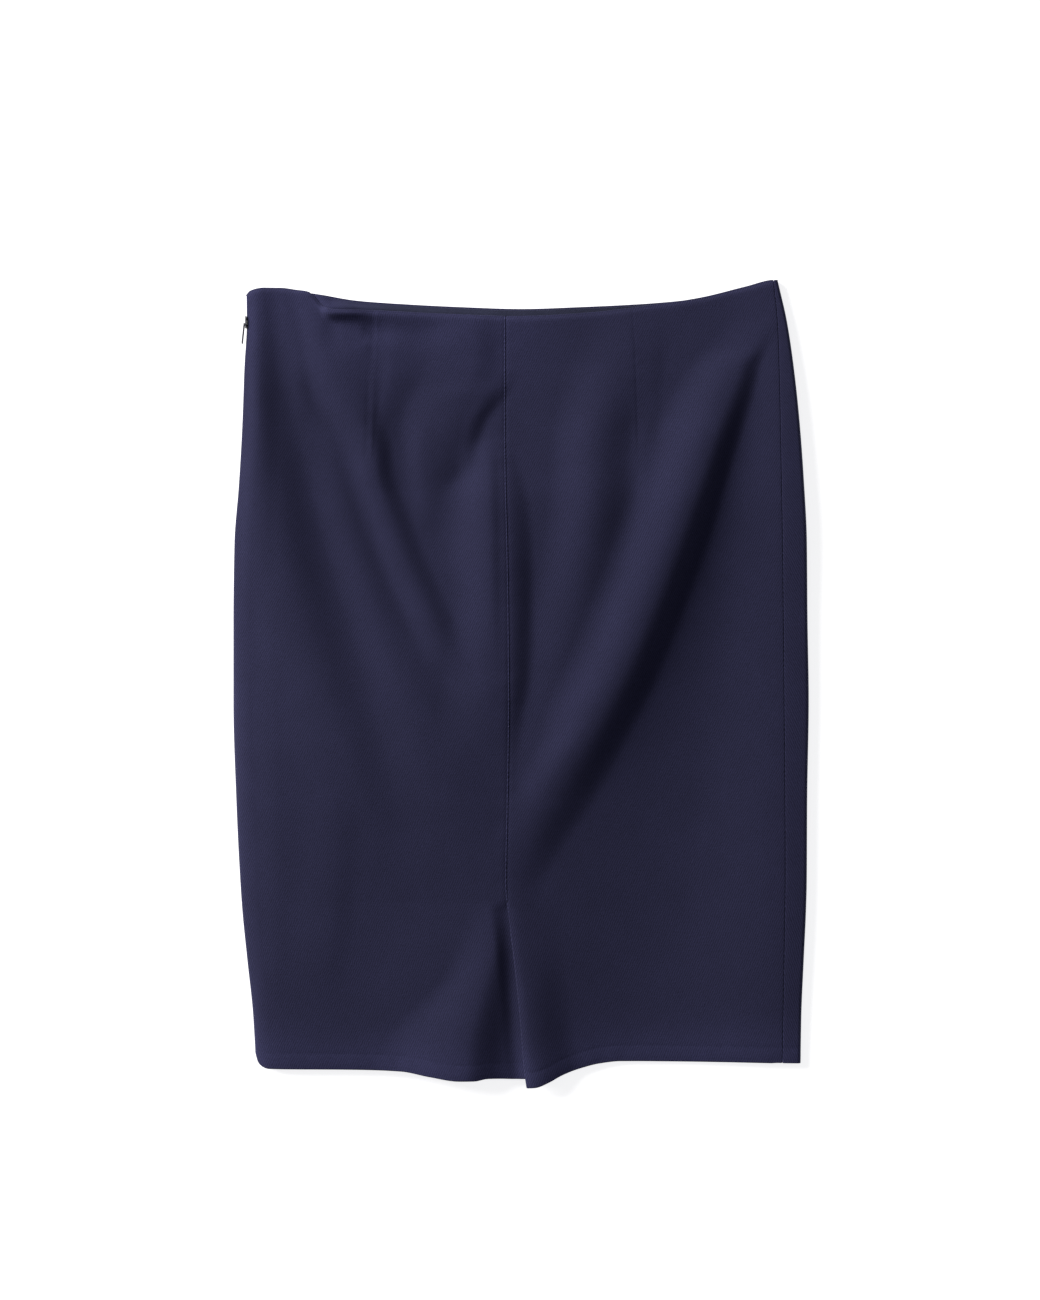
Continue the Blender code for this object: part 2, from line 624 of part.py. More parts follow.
def build_zip(metal, tape):
    wall_object("zip_chain", place_chain, [0, 1], [*steps(0, 1, 12), 1], tape)
    edge = float(read(SECTIONS, "y", "left", SLIDER_Y))
    seam = float(read(LEFT_SEAM, "y", "level", SLIDER_Y))
    face = edge - SEAM_GAP - SLIDER_THICKNESS
    half = SLIDER_LENGTH / 2

    body = [(-2.0, half), (2.0, half), (2.8, 2.6), (2.3, -half), (-2.3, -half), (-2.8, 2.6)]
    body = [(seam + z * SLIDER_WIDTH / 5.6, SLIDER_Y + y) for z, y in body]
    slider = extruded("zip_slider", body, face, edge - SEAM_GAP, metal, axis="x")
    arch = [(0.4, -3.5), (-1.7, -3.0), (-2.3, -2.1), (-2.3, 2.1), (-1.7, 3.0), (0.4, 3.5)]
    arch += [(0.4, 2.0), (-1.1, 2.0), (-1.4, 1.7), (-1.4, -1.7), (-1.1, -2.0), (0.4, -2.0)]
    arch = [(face + x, SLIDER_Y + y) for x, y in arch]
    bridge_half = BRIDGE_WIDTH / 2
    join(slider, extruded("bridge", arch, seam - bridge_half, seam + bridge_half, metal))

    inside, outside = bridge_half + FORK_GAP, PULL_WIDTH / 2
    corner = 1.4
    tab = [(-outside, 0.5), (-inside, 0.5), (-inside, -FORK_DEPTH), (inside, -FORK_DEPTH)]
    tab += [(inside, 0.5), (outside, 0.5), (outside, corner - PULL_LENGTH)]
    tab += [(outside - corner, -PULL_LENGTH), (corner - outside, -PULL_LENGTH)]
    tab += [(-outside, corner - PULL_LENGTH)]
    thick = PULL_THICKNESS / 2
    pull = extruded("zip_pull", tab, -thick, thick, metal, axis="x")
    turns = [2 * math.pi * (i + 0.5) / 8 for i in range(8)]
    bar = [(CROSSBAR_RADIUS * math.cos(a), CROSSBAR_RADIUS * math.sin(a)) for a in turns]
    crossbar = extruded("crossbar", bar, -inside - 0.5, inside + 0.5, metal)
    join(pull, crossbar)
    hinge = bpy.data.objects.new("pull_hinge", None)
    bpy.context.scene.collection.objects.link(hinge)
    hinge.location = ((face - CROSSBAR_OUT) * MM, (SLIDER_Y - CROSSBAR_DOWN) * MM, seam * MM)
    hinge.rotation_euler.z = -math.radians(PULL_TILT)
    pull.parent = hinge
    crossbar.parent = hinge


def main():
    for obj in list(bpy.data.objects):
        bpy.data.objects.remove(obj)
    cloth = new_material("navy wool twill", (0.021, 0.022, 0.047), 0.85)
    facing = new_material("navy facing", (0.016, 0.017, 0.034), 0.8)
    tape = new_material("navy zip tape", (0.012, 0.013, 0.026), 0.75)
    metal = new_material("dark metal", (0.05, 0.05, 0.06), 0.4, metallic=1.0)
    build_panels(cloth)
    wall_object("front_facing", place_facing, [*steps(0, 1, 24), 1], [0, 0.5, 1], facing)
    build_zip(metal, tape)


main()
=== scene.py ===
"""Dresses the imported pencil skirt: wool twill panels with their folds, darts, seams and hems, a
coil zip with its slider and hinged pull tab, sewing thread, and a pale studio floor.

The cloth is built from the same named sizes as the solids, on a finer grid, as thin closed walls
with rounded edges. Sizes in the tables are millimetres. +X is to the right with the back side up,
+Y runs from hem to waist and +Z is up off the floor.
"""

import math
import random
from collections import namedtuple

import bpy
import numpy as np
from mathutils import Matrix, Vector


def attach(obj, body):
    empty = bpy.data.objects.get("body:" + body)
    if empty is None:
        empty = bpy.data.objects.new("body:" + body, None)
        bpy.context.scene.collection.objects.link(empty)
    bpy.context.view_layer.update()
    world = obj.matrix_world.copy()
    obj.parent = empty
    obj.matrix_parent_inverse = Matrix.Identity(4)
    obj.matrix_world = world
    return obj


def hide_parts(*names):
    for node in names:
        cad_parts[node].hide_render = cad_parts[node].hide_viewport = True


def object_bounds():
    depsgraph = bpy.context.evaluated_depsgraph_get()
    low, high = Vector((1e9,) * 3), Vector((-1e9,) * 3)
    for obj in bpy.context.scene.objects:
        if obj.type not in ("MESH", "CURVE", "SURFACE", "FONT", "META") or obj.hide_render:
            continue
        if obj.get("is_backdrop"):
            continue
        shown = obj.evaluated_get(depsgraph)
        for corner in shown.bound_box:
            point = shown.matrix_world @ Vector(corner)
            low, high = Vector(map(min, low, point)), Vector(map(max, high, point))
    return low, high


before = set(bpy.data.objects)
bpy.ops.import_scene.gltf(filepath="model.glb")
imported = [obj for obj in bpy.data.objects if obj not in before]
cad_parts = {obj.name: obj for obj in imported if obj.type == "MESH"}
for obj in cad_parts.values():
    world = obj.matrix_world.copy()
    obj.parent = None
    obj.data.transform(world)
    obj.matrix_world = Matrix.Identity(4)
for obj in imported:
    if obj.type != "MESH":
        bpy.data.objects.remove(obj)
CAD_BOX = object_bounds()

bl_info = {
    "name": "Pencil Skirt",
    "version": (1, 0, 0),
    "blender": (4, 5, 0),
    "location": "View3D > Sidebar > Skirt",
    "description": "Builds a navy wool pencil skirt laid flat with its back side up",
    "category": "Add Mesh",
}

MM = 0.001


def linear(colour):
    """An sRGB hex colour as linear red, green and blue."""
    shares = [int(colour[i : i + 2], 16) / 255 for i in (0, 2, 4)]
    return tuple(s / 12.92 if s <= 0.04045 else ((s + 0.055) / 1.055) ** 2.4 for s in shares)


# ---------------------------------------------------------------------------------------------
# Sizes that the skirt's solids and its cloth share
# ---------------------------------------------------------------------------------------------

HEM_DEPTH = 11.5  # the turned hem, down from its stitching
HEM_STEP = 1.5  # length over which the hem's second layer begins
HEM_EXTRA = 0.9  # what the turned layer adds to the wall
SEAM_GAP = 0.3  # between pieces that are sewn together
SEWN_GAP = 0.04  # between the rounded edges of pieces that are sewn together
SOLID_CLOTH = 1.2  # wall of the solids
BACK_LEVEL = 4.8  # outer face of the back where no fold lifts it
ROLL = 13.0  # width over which the back turns down to the left seam
CURL = 2.6  # width over which the front turns up at either edge
VENT_TOP = -177.5
UNDERLAP_WIDTH = 38.0
UNDERLAP_DROP = 1.2  # how much further down the underlap lies below the vent's top
UNDERLAP_GAP = 0.5  # below the overlap at the vent's top
VENT_EXTRA = 0.8  # what the folded vent facing adds to the wall
FACING_DEPTH = 36.0
FACING_INSET = 1.2
FACING_LEVEL = 2.5  # upper face of the facing
FACING_LEFT = -196.0
FACING_ROLLED = -148.0  # left of here the facing rolls over and shows its right side
FACING_FLAT = -104.0  # and right of here it lies flat, wrong side up
FACING_RIGHT = 188.0
ZIP_TOP = 287.0
ZIP_BOTTOM = 95.0
CHAIN_INSET = 2.2  # from the seam's outer face to the chain
SLIDER_Y = 281.9
SLIDER_LENGTH = 9.4
SLIDER_WIDTH = 5.6
SLIDER_THICKNESS = 1.0
CROSSBAR_OUT = 0.75  # from the slider's face to the crossbar
CROSSBAR_DOWN = 1.2  # from the slider's middle to the crossbar
PULL_LENGTH = 15.8  # from the crossbar to the tip
PULL_WIDTH = 4.8
PULL_THICKNESS = 1.0
PULL_TILT = 6.0  # degrees that the pull hangs away from the seam
BRIDGE_WIDTH = 1.8
FORK_GAP = 0.35  # between the bridge and each arm of the pull
FORK_DEPTH = 4.2

# Stretches over which something begins or ends, along the way that each comment gives
Span = namedtuple("Span", "start end")
DIP_DOWN = Span(-10.0, 0.0)  # down from the vent's top: the left half dips below the overlap
DIP_BESIDE = Span(-14.0, -1.0)  # right from the centre seam: the dip, which is whole at the vent
DIP_UNDER = Span(0.0, 6.0)  # right from the centre seam: the underlap, which is below throughout
UNDERLAP_FALL = Span(3.0, 38.0)  # down from the vent's top: the underlap falls by its drop
VENT_FACING_DOWN = Span(8.0, 24.0)  # down from the vent's top: the vent's facing begins
VENT_FACING_ACROSS = Span(-6.0, -2.0)  # right from the underlap's width: the vent's facing ends
HEM_TAPER = Span(3.0, 9.0)  # in from a side edge: the hem's second layer begins
HEM_SHORT = 4.0  # from the side seam to the end of the front's second layer

# The outline, row by row: where each edge and seam lies at a height y
Section = namedtuple("Section", "y left centre seam right")
SECTIONS = (
    Section(-314, -207.3, 4.2, 203.6, 218.2),
    Section(-300, -207.3, 2.3, 203.8, 218.3),
    Section(-262, -209.0, -0.6, 204.4, 218.8),
    Section(-216, -213.7, -5.2, 205.2, 220.7),
    Section(-177, -217.6, -9.9, 205.8, 222.5),
    Section(-154, -219.2, -11.6, 206.1, 223.1),
    Section(-91, -222.3, -10.4, 205.9, 223.4),
    Section(-13, -224.6, -9.4, 205.2, 224.6),
    Section(50, -224.6, -9.8, 204.6, 223.6),
    Section(112, -223.8, -10.8, 203.8, 223.0),
    Section(158, -220.3, -12.0, 203.0, 220.7),
    Section(205, -217.6, -12.5, 202.2, 217.3),
    Section(252, -215.8, -12.5, 201.2, 212.2),
    Section(283, -214.0, -12.5, 200.0, 207.5),
    Section(314, -214.3, -12.5, 197.0, 200.5),
)

# The ends of each panel: the height y of its cut edge at x
Edge = namedtuple("Edge", "x y")
HEM_LEFT = (
    Edge(-207.5, -288.0),
    Edge(-204.5, -296.5),
    Edge(-197.0, -299.9),
    Edge(-141.0, -300.3),
    Edge(-94.0, -301.5),
    Edge(-71.0, -305.4),
    Edge(-48.0, -308.5),
    Edge(-36.0, -308.5),
    Edge(-26.0, -307.0),
    Edge(0.0, -307.6),
    Edge(16.0, -305.0),
    Edge(39.0, -297.5),
)
HEM_RIGHT = (
    Edge(3.9, -314.5),
    Edge(11.0, -313.9),
    Edge(21.0, -310.2),
    Edge(32.0, -304.6),
    Edge(46.0, -299.5),
    Edge(62.0, -295.6),
    Edge(78.0, -294.0),
    Edge(163.0, -294.8),
    Edge(218.0, -296.0),
)
HEM_FRONT = (
    Edge(-207.5, -288.0),
    Edge(-204.5, -296.5),
    Edge(-197.0, -298.6),
    Edge(-100.0, -298.6),
    Edge(0.0, -296.0),
    Edge(80.0, -292.6),
    Edge(163.0, -293.8),
    Edge(204.0, -295.8),
    Edge(218.0, -296.0),
)
WAIST_LEFT = (
    Edge(-214.5, 302.5),
    Edge(-211.4, 306.2),
    Edge(-200.0, 308.5),
    Edge(-188.0, 308.5),
    Edge(-176.0, 306.9),
    Edge(-166.0, 305.2),
    Edge(-161.0, 301.0),
    Edge(-154.0, 293.2),
    Edge(-146.0, 291.0),
    Edge(-116.0, 290.6),
    Edge(-63.0, 288.4),
    Edge(-12.5, 286.4),
)
WAIST_RIGHT = (
    Edge(-12.5, 286.4),
    Edge(7.0, 286.7),
    Edge(54.0, 289.4),
    Edge(100.0, 294.8),
    Edge(140.0, 300.9),
    Edge(175.0, 309.4),
    Edge(198.0, 314.6),
    Edge(200.5, 314.6),
)
WAIST_FRONT = (
    Edge(-214.5, 302.5),
    Edge(-211.4, 305.7),
    Edge(-200.0, 307.4),
    Edge(-188.0, 307.4),
    Edge(-176.0, 306.0),
    Edge(-153.0, 302.3),
    Edge(-129.0, 298.4),
    Edge(-94.0, 296.0),
    Edge(-48.0, 293.7),
    Edge(0.0, 292.2),
    Edge(46.0, 293.7),
    Edge(93.0, 296.0),
    Edge(128.0, 299.0),
    Edge(151.0, 303.0),
    Edge(175.0, 308.4),
    Edge(198.0, 314.3),
    Edge(200.5, 314.6),
)

# The hem and the waist between which each panel lies
Ends = namedtuple("Ends", "hem waist")
LEFT_ENDS = Ends(HEM_LEFT, WAIST_LEFT)
RIGHT_ENDS = Ends(HEM_RIGHT, WAIST_RIGHT)
FRONT_ENDS = Ends(HEM_FRONT, WAIST_FRONT)

# x near which each edge and seam runs, where it meets the hem and the waist
NEAR = {"left": -211.0, "centre": -10.0, "seam": 203.0, "right": 210.0}

# Height of the left seam, and width of the slit beside it
Seam = namedtuple("Seam", "y level gap")
LEFT_SEAM = (
    Seam(20, 2.4, 0.3),
    Seam(95, 2.6, 0.3),
    Seam(210, 3.0, 0.7),
    Seam(262, 3.8, 0.7),
    Seam(314, 3.8, 0.7),
)

# Folds of the back: the crest runs through x at each height y, and the cloth falls to nothing
# over the widths left and right of it. A lower skew puts the steepest fall nearer the crest.
Crest = namedtuple("Crest", "y x height left right")
Fold = namedtuple("Fold", "name panels skew crests")
BOTH = ("left", "right")
FOLDS = (
    Fold("right hip to vent", BOTH, 1.45, (
        Crest(-150, -10.0, 0.0, 28, 30),
        Crest(-114, 4.0, 0.8, 26, 38),
        Crest(-91, 16.0, 1.8, 27, 41),
        Crest(-67, 30.0, 3.4, 29, 41),
        Crest(-44, 44.5, 5.0, 32, 39),
        Crest(-21, 58.0, 6.1, 41, 37),
        Crest(3, 71.5, 7.1, 44, 35),
        Crest(65, 99.0, 8.7, 46, 31.5),
        Crest(128, 123.5, 9.6, 48, 28.5),
        Crest(190, 145.0, 9.0, 48, 26),
        Crest(221, 156.0, 7.1, 44, 25),
        Crest(237, 162.0, 5.9, 40, 23),
        Crest(250, 167.0, 4.6, 36, 21),
        Crest(264, 175.0, 1.6, 32, 20),
        Crest(284, 186.0, 0.0, 27, 20),
    )),
    Fold("inner right", BOTH, 1.0, (
        Crest(-30, 14.0, 0.0, 34, 26),
        Crest(10, 25.0, 1.2, 34, 28),
        Crest(50, 38.0, 2.4, 35, 32),
        Crest(96, 49.0, 4.0, 36, 35),
        Crest(143, 56.0, 5.2, 36, 36),
        Crest(190, 57.0, 4.8, 34, 37),
        Crest(213, 63.0, 4.0, 36, 40),
        Crest(237, 71.0, 2.8, 40, 42),
        Crest(290, 90.0, 0.0, 40, 36),
    )),
    Fold("centre back", BOTH, 1.7, (
        Crest(-84, -25.0, 0.0, 50, 22),
        Crest(-58, -23.0, 1.0, 46, 23),
        Crest(-28, -21.0, 3.2, 46, 24),
        Crest(3, -18.5, 5.4, 46, 27),
        Crest(34, -17.5, 5.6, 42, 28),
        Crest(65, -17.5, 5.0, 38, 28),
        Crest(96, -18.5, 4.8, 40, 29),
        Crest(120, -19.5, 3.8, 40, 29),
        Crest(143, -21.0, 3.0, 38, 28),
        Crest(167, -23.0, 1.8, 32, 24),
        Crest(190, -25.0, 0.0, 28, 20),
    )),
    Fold("rise to the centre", BOTH, 1.0, (
        Crest(10, -22.0, 0.0, 44, 300),
        Crest(60, -20.0, 1.8, 46, 300),
        Crest(100, -20.0, 4.4, 48, 300),
        Crest(143, -20.0, 6.2, 46, 300),
        Crest(170, -20.0, 4.2, 30, 300),
        Crest(215, -16.0, 1.0, 30, 300),
        Crest(250, -14.0, 0.0, 40, 300),
    )),
    Fold("short slant under the waist", BOTH, 1.3, (
        Crest(158, -52.0, 0.0, 34, 16),
        Crest(180, -48.0, 2.0, 38, 15),
        Crest(205, -42.0, 3.3, 52, 17),
        Crest(224, -33.0, 2.9, 58, 23),
        Crest(238, -28.0, 1.2, 60, 28),
        Crest(254, -24.0, 0.0, 60, 30),
    )),
    Fold("right of the left dart", ("left",), 1.0, (
        Crest(118, -70.0, 0.0, 18, 30),
        Crest(145, -72.0, 1.8, 19, 30),
        Crest(180, -76.0, 2.6, 18, 40),
        Crest(212, -68.0, 2.0, 32, 50),
        Crest(232, -46.0, 1.9, 60, 31),
        Crest(250, -37.0, 2.3, 74, 23),
        Crest(272, -39.0, 1.9, 70, 25),
        Crest(298, -42.0, 0.0, 64, 26),
    )),
    Fold("inner left", BOTH, 1.0, (
        Crest(5, -52.0, 0.0, 22, 20),
        Crest(34, -63.0, 2.0, 22, 20),
        Crest(96, -91.0, 3.4, 23, 20),
        Crest(128, -103.0, 3.8, 24, 20),
        Crest(159, -112.5, 4.2, 25, 17),
        Crest(190, -118.0, 4.0, 28, 17),
        Crest(221, -135.0, 3.8, 29, 40),
        Crest(252, -149.0, 4.3, 34, 62),
        Crest(280, -150.0, 4.5, 40, 90),
        Crest(312, -150.0, 4.4, 44, 90),
    )),
    Fold("middle left", BOTH, 1.0, (
        Crest(-110, -52.0, 0.0, 44, 46),
        Crest(-50, -74.0, 0.6, 36, 64),
        Crest(-25, -84.0, 1.0, 32, 52),
        Crest(3, -93.5, 1.7, 28, 34),
        Crest(65, -116.0, 2.5, 26, 24),
        Crest(128, -136.5, 2.2, 24, 22),
        Crest(200, -156.0, 0.0, 22, 20),
    )),
    Fold("outer left", BOTH, 1.0, (
        Crest(-150, -112.0, 0.0, 60, 34),
        Crest(-85, -128.0, 1.6, 58, 34),
        Crest(-28, -146.0, 3.0, 52, 36),
        Crest(50, -170.0, 3.4, 44, 36),
        Crest(112, -187.0, 3.4, 34, 34),
        Crest(174, -197.0, 3.4, 26, 30),
        Crest(221, -203.0, 3.0, 18, 26),
        Crest(268, -205.0, 2.0, 16, 28),
        Crest(320, -206.0, 1.2, 14, 28),
    )),
    Fold("along the left side", ("left",), 1.0, (
        Crest(-330, -182.0, 1.4, 26, 70),
        Crest(-230, -188.0, 1.8, 30, 80),
        Crest(-160, -188.0, 2.7, 34, 110),
        Crest(-60, -188.0, 3.6, 38, 110),
        Crest(50, -192.0, 3.9, 34, 70),
        Crest(120, -196.0, 3.0, 30, 50),
        Crest(180, -198.0, 0.8, 28, 40),
        Crest(220, -198.0, 0.0, 28, 40),
    )),
    Fold("beside the zip", BOTH, 1.0, (
        Crest(40, -214.0, 0.0, 14, 20),
        Crest(100, -213.0, 1.6, 16, 22),
        Crest(174, -210.0, 2.2, 16, 22),
        Crest(240, -207.0, 1.2, 14, 18),
        Crest(320, -207.0, 0.8, 14, 18),
    )),
    Fold("fullness of the left half", BOTH, 0.85, (
        Crest(-320, -6.0, 3.6, 300, 100),
        Crest(-262, -8.0, 6.2, 300, 120),
        Crest(-200, -10.0, 8.0, 300, 135),
        Crest(-150, -6.0, 8.0, 300, 142),
        Crest(-91, 14.0, 6.8, 300, 134),
        Crest(-30, 50.0, 5.4, 300, 106),
        Crest(40, 88.0, 4.2, 300, 78),
        Crest(110, 112.0, 2.8, 300, 60),
        Crest(180, 134.0, 1.4, 300, 50),
        Crest(250, 150.0, 0.0, 300, 50),
    )),
    Fold("left of the vent", ("left",), 1.0, (
        Crest(-320, -45.0, 8.8, 76, 36),
        Crest(-278, -41.0, 8.0, 68, 35),
        Crest(-247, -33.0, 5.8, 46, 29),
        Crest(-231, -28.0, 4.4, 36, 24),
        Crest(-200, -20.0, 2.0, 30, 18),
        Crest(-168, -16.0, 0.0, 24, 16),
    )),
    Fold("vent overlap", ("right",), 1.0, (
        Crest(-320, 15.0, 6.0, 26, 36),
        Crest(-294, 11.0, 5.4, 25, 34),
        Crest(-247, 5.0, 3.8, 24, 34),
        Crest(-200, 0.0, 1.4, 24, 34),
        Crest(-160, -3.0, 0.0, 24, 34),
    )),
    Fold("along the right side", BOTH, 1.0, (
        Crest(-310, 196.0, 2.0, 74, 60),
        Crest(-200, 200.0, 3.6, 78, 60),
        Crest(-60, 208.0, 3.6, 74, 60),
        Crest(60, 214.0, 4.4, 74, 60),
        Crest(120, 216.0, 5.4, 72, 60),
        Crest(220, 212.0, 4.6, 54, 60),
        Crest(300, 206.0, 2.2, 50, 60),
    )),
    Fold("step at the end of the long fold", BOTH, 1.3, (
        Crest(-250, -22.0, 0.0, 300, 34),
        Crest(-190, -19.0, 0.7, 300, 34),
        Crest(-160, -15.0, 1.5, 300, 34),
        Crest(-138, -8.0, 2.6, 300, 37),
        Crest(-114, 2.0, 4.0, 300, 42),
        Crest(-91, 13.0, 4.8, 300, 47),
        Crest(-67, 28.0, 4.9, 300, 45),
        Crest(-44, 43.0, 4.5, 300, 41),
        Crest(-10, 64.0, 3.9, 300, 37),
        Crest(40, 88.0, 2.6, 300, 33),
        Crest(110, 117.0, 1.0, 300, 30),
        Crest(180, 141.0, 0.0, 300, 28),
    )),
    Fold("under the left waist", ("left",), 1.0, (
        Crest(60, -110.0, 0.0, 80, 90),
        Crest(150, -108.0, 0.8, 80, 92),
        Crest(205, -106.0, 1.8, 84, 92),
        Crest(236, -106.0, 2.4, 86, 92),
        Crest(262, -106.0, 1.0, 86, 92),
        Crest(278, -106.0, 0.0, 86, 92),
    )),
    Fold("slack left of the long fold", BOTH, 1.0, (
        Crest(-170, -44.0, 0.0, 300, 60),
        Crest(-125, -54.0, 1.8, 300, 62),
        Crest(-85, -76.0, 4.8, 300, 78),
        Crest(-45, -90.0, 6.8, 300, 88),
        Crest(-10, -92.0, 6.6, 300, 88),
        Crest(40, -88.0, 4.4, 300, 84),
        Crest(90, -84.0, 2.0, 300, 80),
        Crest(150, -80.0, 0.0, 300, 80),
    )),
)

# ---------------------------------------------------------------------------------------------
# Finer shapes, which only the dressed skirt has
# ---------------------------------------------------------------------------------------------

# Small creases of the back, in the same form as its folds
CREASES = (
    Fold("shoulder beside the centre seam", ("left",), 1.0, (
        Crest(20, -22.0, 0.0, 24, 8),
        Crest(70, -23.0, 0.7, 26, 8),
        Crest(130, -24.0, 1.0, 28, 9),
        Crest(165, -25.0, 0.8, 26, 9),
        Crest(190, -26.0, 0.0, 22, 8),
    )),
    Fold("beside the left dart", ("left",), 1.0, (
        Crest(165, -110.0, 0.0, 12, 9),
        Crest(185, -107.0, 0.3, 12, 10),
        Crest(215, -102.0, 1.0, 14, 16),
        Crest(245, -99.0, 1.8, 16, 28),
        Crest(268, -98.0, 2.0, 18, 34),
        Crest(284, -98.0, 1.0, 18, 34),
        Crest(296, -98.0, 0.0, 18, 34),
    )),
    Fold("below the left end of the waist", ("left",), 1.0, (
        Crest(205, -168.0, 0.0, 16, 12),
        Crest(240, -175.0, 1.1, 16, 12),
        Crest(290, -184.0, 0.8, 14, 12),
        Crest(312, -188.0, 0.0, 14, 12),
    )),
    Fold("low on the left side", ("left",), 1.0, (
        Crest(-250, -158.0, 0.0, 30, 24),
        Crest(-190, -150.0, 0.9, 32, 22),
        Crest(-120, -146.0, 0.8, 30, 22),
        Crest(-60, -150.0, 0.0, 26, 22),
    )),
    Fold("beside the right dart", ("right",), 1.0, (
        Crest(140, 92.0, 0.0, 14, 12),
        Crest(175, 96.0, 0.6, 14, 12),
        Crest(230, 101.0, 0.5, 14, 12),
        Crest(280, 104.0, 0.0, 14, 12),
    )),
)

# Shallow creases of the front, which lift its outer face off the floor
FRONT_CREASES = (
    Fold("front, from the left hip", BOTH, 1.0, (
        Crest(-150, -70.0, 0.0, 30, 26),
        Crest(-60, -104.0, 1.1, 30, 24),
        Crest(60, -142.0, 1.3, 26, 22),
        Crest(170, -168.0, 0.8, 22, 20),
        Crest(235, -178.0, 0.0, 20, 18),
    )),
    Fold("front, from the right hip", BOTH, 1.0, (
        Crest(-170, 30.0, 0.0, 26, 30),
        Crest(-80, 66.0, 1.2, 26, 34),
        Crest(40, 112.0, 1.5, 26, 32),
        Crest(150, 148.0, 1.0, 24, 24),
        Crest(235, 168.0, 0.0, 20, 20),
    )),
    Fold("front, middle", BOTH, 1.0, (
        Crest(-40, 8.0, 0.0, 24, 22),
        Crest(50, 0.0, 0.9, 26, 22),
        Crest(140, -12.0, 0.6, 24, 20),
        Crest(220, -20.0, 0.0, 22, 18),
    )),
)

# Darts: the stitched line from the tip to the waist. side is the way in which the intake lies, and
# intake is how far it lifts the cloth beside the line.
Dart = namedtuple("Dart", "panel side intake points")
DARTS = (
    Dart("left", 1, 0.34, (
        Edge(-119.5, 172.0),
        Edge(-118.9, 205.0),
        Edge(-116.5, 250.0),
        Edge(-114.0, 292.0),
    )),
    Dart("right", -1, 0.09, (
        Edge(91.3, 180.0),
        Edge(90.5, 215.0),
        Edge(88.8, 262.0),
        Edge(86.8, 296.0),
    )),
    Dart("front", -1, 0.3, (Edge(-99.0, 196.0), Edge(-96.0, 296.0))),
    Dart("front", 1, 0.3, (Edge(91.0, 196.0), Edge(88.0, 296.0))),
)
DART_HELD = Span(-3.0, 14.0)  # up from the tip: the stitching takes hold
DART_GROOVE = 0.65  # depth of the stitched line, as a share of the intake's lift
DART_GROOVE_WIDTH = 0.9
DART_RISE = 1.8  # from the line to where the intake has lifted the cloth
DART_FALL = 3.0  # from the intake's edge to where the cloth is down again
DART_TIP_WIDTH = 2.0  # of the intake at the tip
DART_GAIN = 11.0  # by which the intake is wider at the waist
DART_PUCKER_PITCH = 13.0
DART_PUCKER_REACH = 4.0
PUFF = 0.35  # fullness that a dart lets go below its tip
PUFF_DOWN = 7.0  # from the tip to the middle of the fullness
PUFF_WIDTH = 9.0
PUFF_LENGTH = 11.0

# The hollow under the waist edge beside the left dart: the lip rises, the cloth drops away below
# it by the distance near, and comes back up by the distance far
Hollow = namedtuple("Hollow", "x lip drop near far")
WAIST_HOLLOW = (
    Hollow(-185.0, 0.0, 0.0, 6.0, 36.0),
    Hollow(-158.0, 0.0, 0.8, 6.0, 36.0),
    Hollow(-154.5, 1.4, 1.0, 7.6, 38.0),
    Hollow(-151.5, 3.4, 1.4, 8.8, 40.0),
    Hollow(-145.0, 4.0, 1.8, 9.2, 40.0),
    Hollow(-136.0, 3.8, 1.6, 8.6, 38.0),
    Hollow(-126.0, 2.6, 1.6, 9.0, 34.0),
    Hollow(-119.0, 1.6, 2.6, 12.5, 27.0),
    Hollow(-110.0, 1.1, 2.6, 15.0, 29.0),
    Hollow(-98.0, 0.7, 2.0, 17.0, 33.0),
    Hollow(-86.0, 0.4, 1.4, 17.0, 34.0),
    Hollow(-70.0, 0.2, 0.7, 14.0, 34.0),
    Hollow(-50.0, 0.0, 0.0, 12.0, 30.0),
)
LIP_DEPTH = 2.0  # from the waist edge to where the cloth begins to drop

# How far the front's waist stands off the floor below the edge of the back
Lift = namedtuple("Lift", "x height")
WAIST_LIFT = (
    Lift(-200.0, 0.0),
    Lift(-182.0, 0.9),
    Lift(-170.0, 2.6),
    Lift(-162.0, 4.2),
    Lift(-158.0, 5.0),
    Lift(-154.5, 6.0),
    Lift(-151.0, 7.5),
    Lift(-145.0, 8.4),
    Lift(-136.0, 8.1),
    Lift(-126.0, 6.3),
    Lift(-119.0, 5.0),
    Lift(-110.0, 4.1),
    Lift(-98.0, 2.7),
    Lift(-86.0, 1.7),
    Lift(-70.0, 1.1),
    Lift(-50.0, 0.8),
    Lift(0.0, 0.5),
)
LIFT_FOOT = 5.0  # down from the back's edge to where the front lies flat again
LIFT_ENDS = Span(-30.0, 0.0)  # along X: the lift dies out at the centre seam
STRIP_FALL = 0.5  # share of its height that the strip above the back's edge loses at the top
STRIP_FALL_ACROSS = Span(-158.0, -146.0)  # along X: from here on the strip loses height
STRIP_LEAST = 5.0  # least length over which it does so

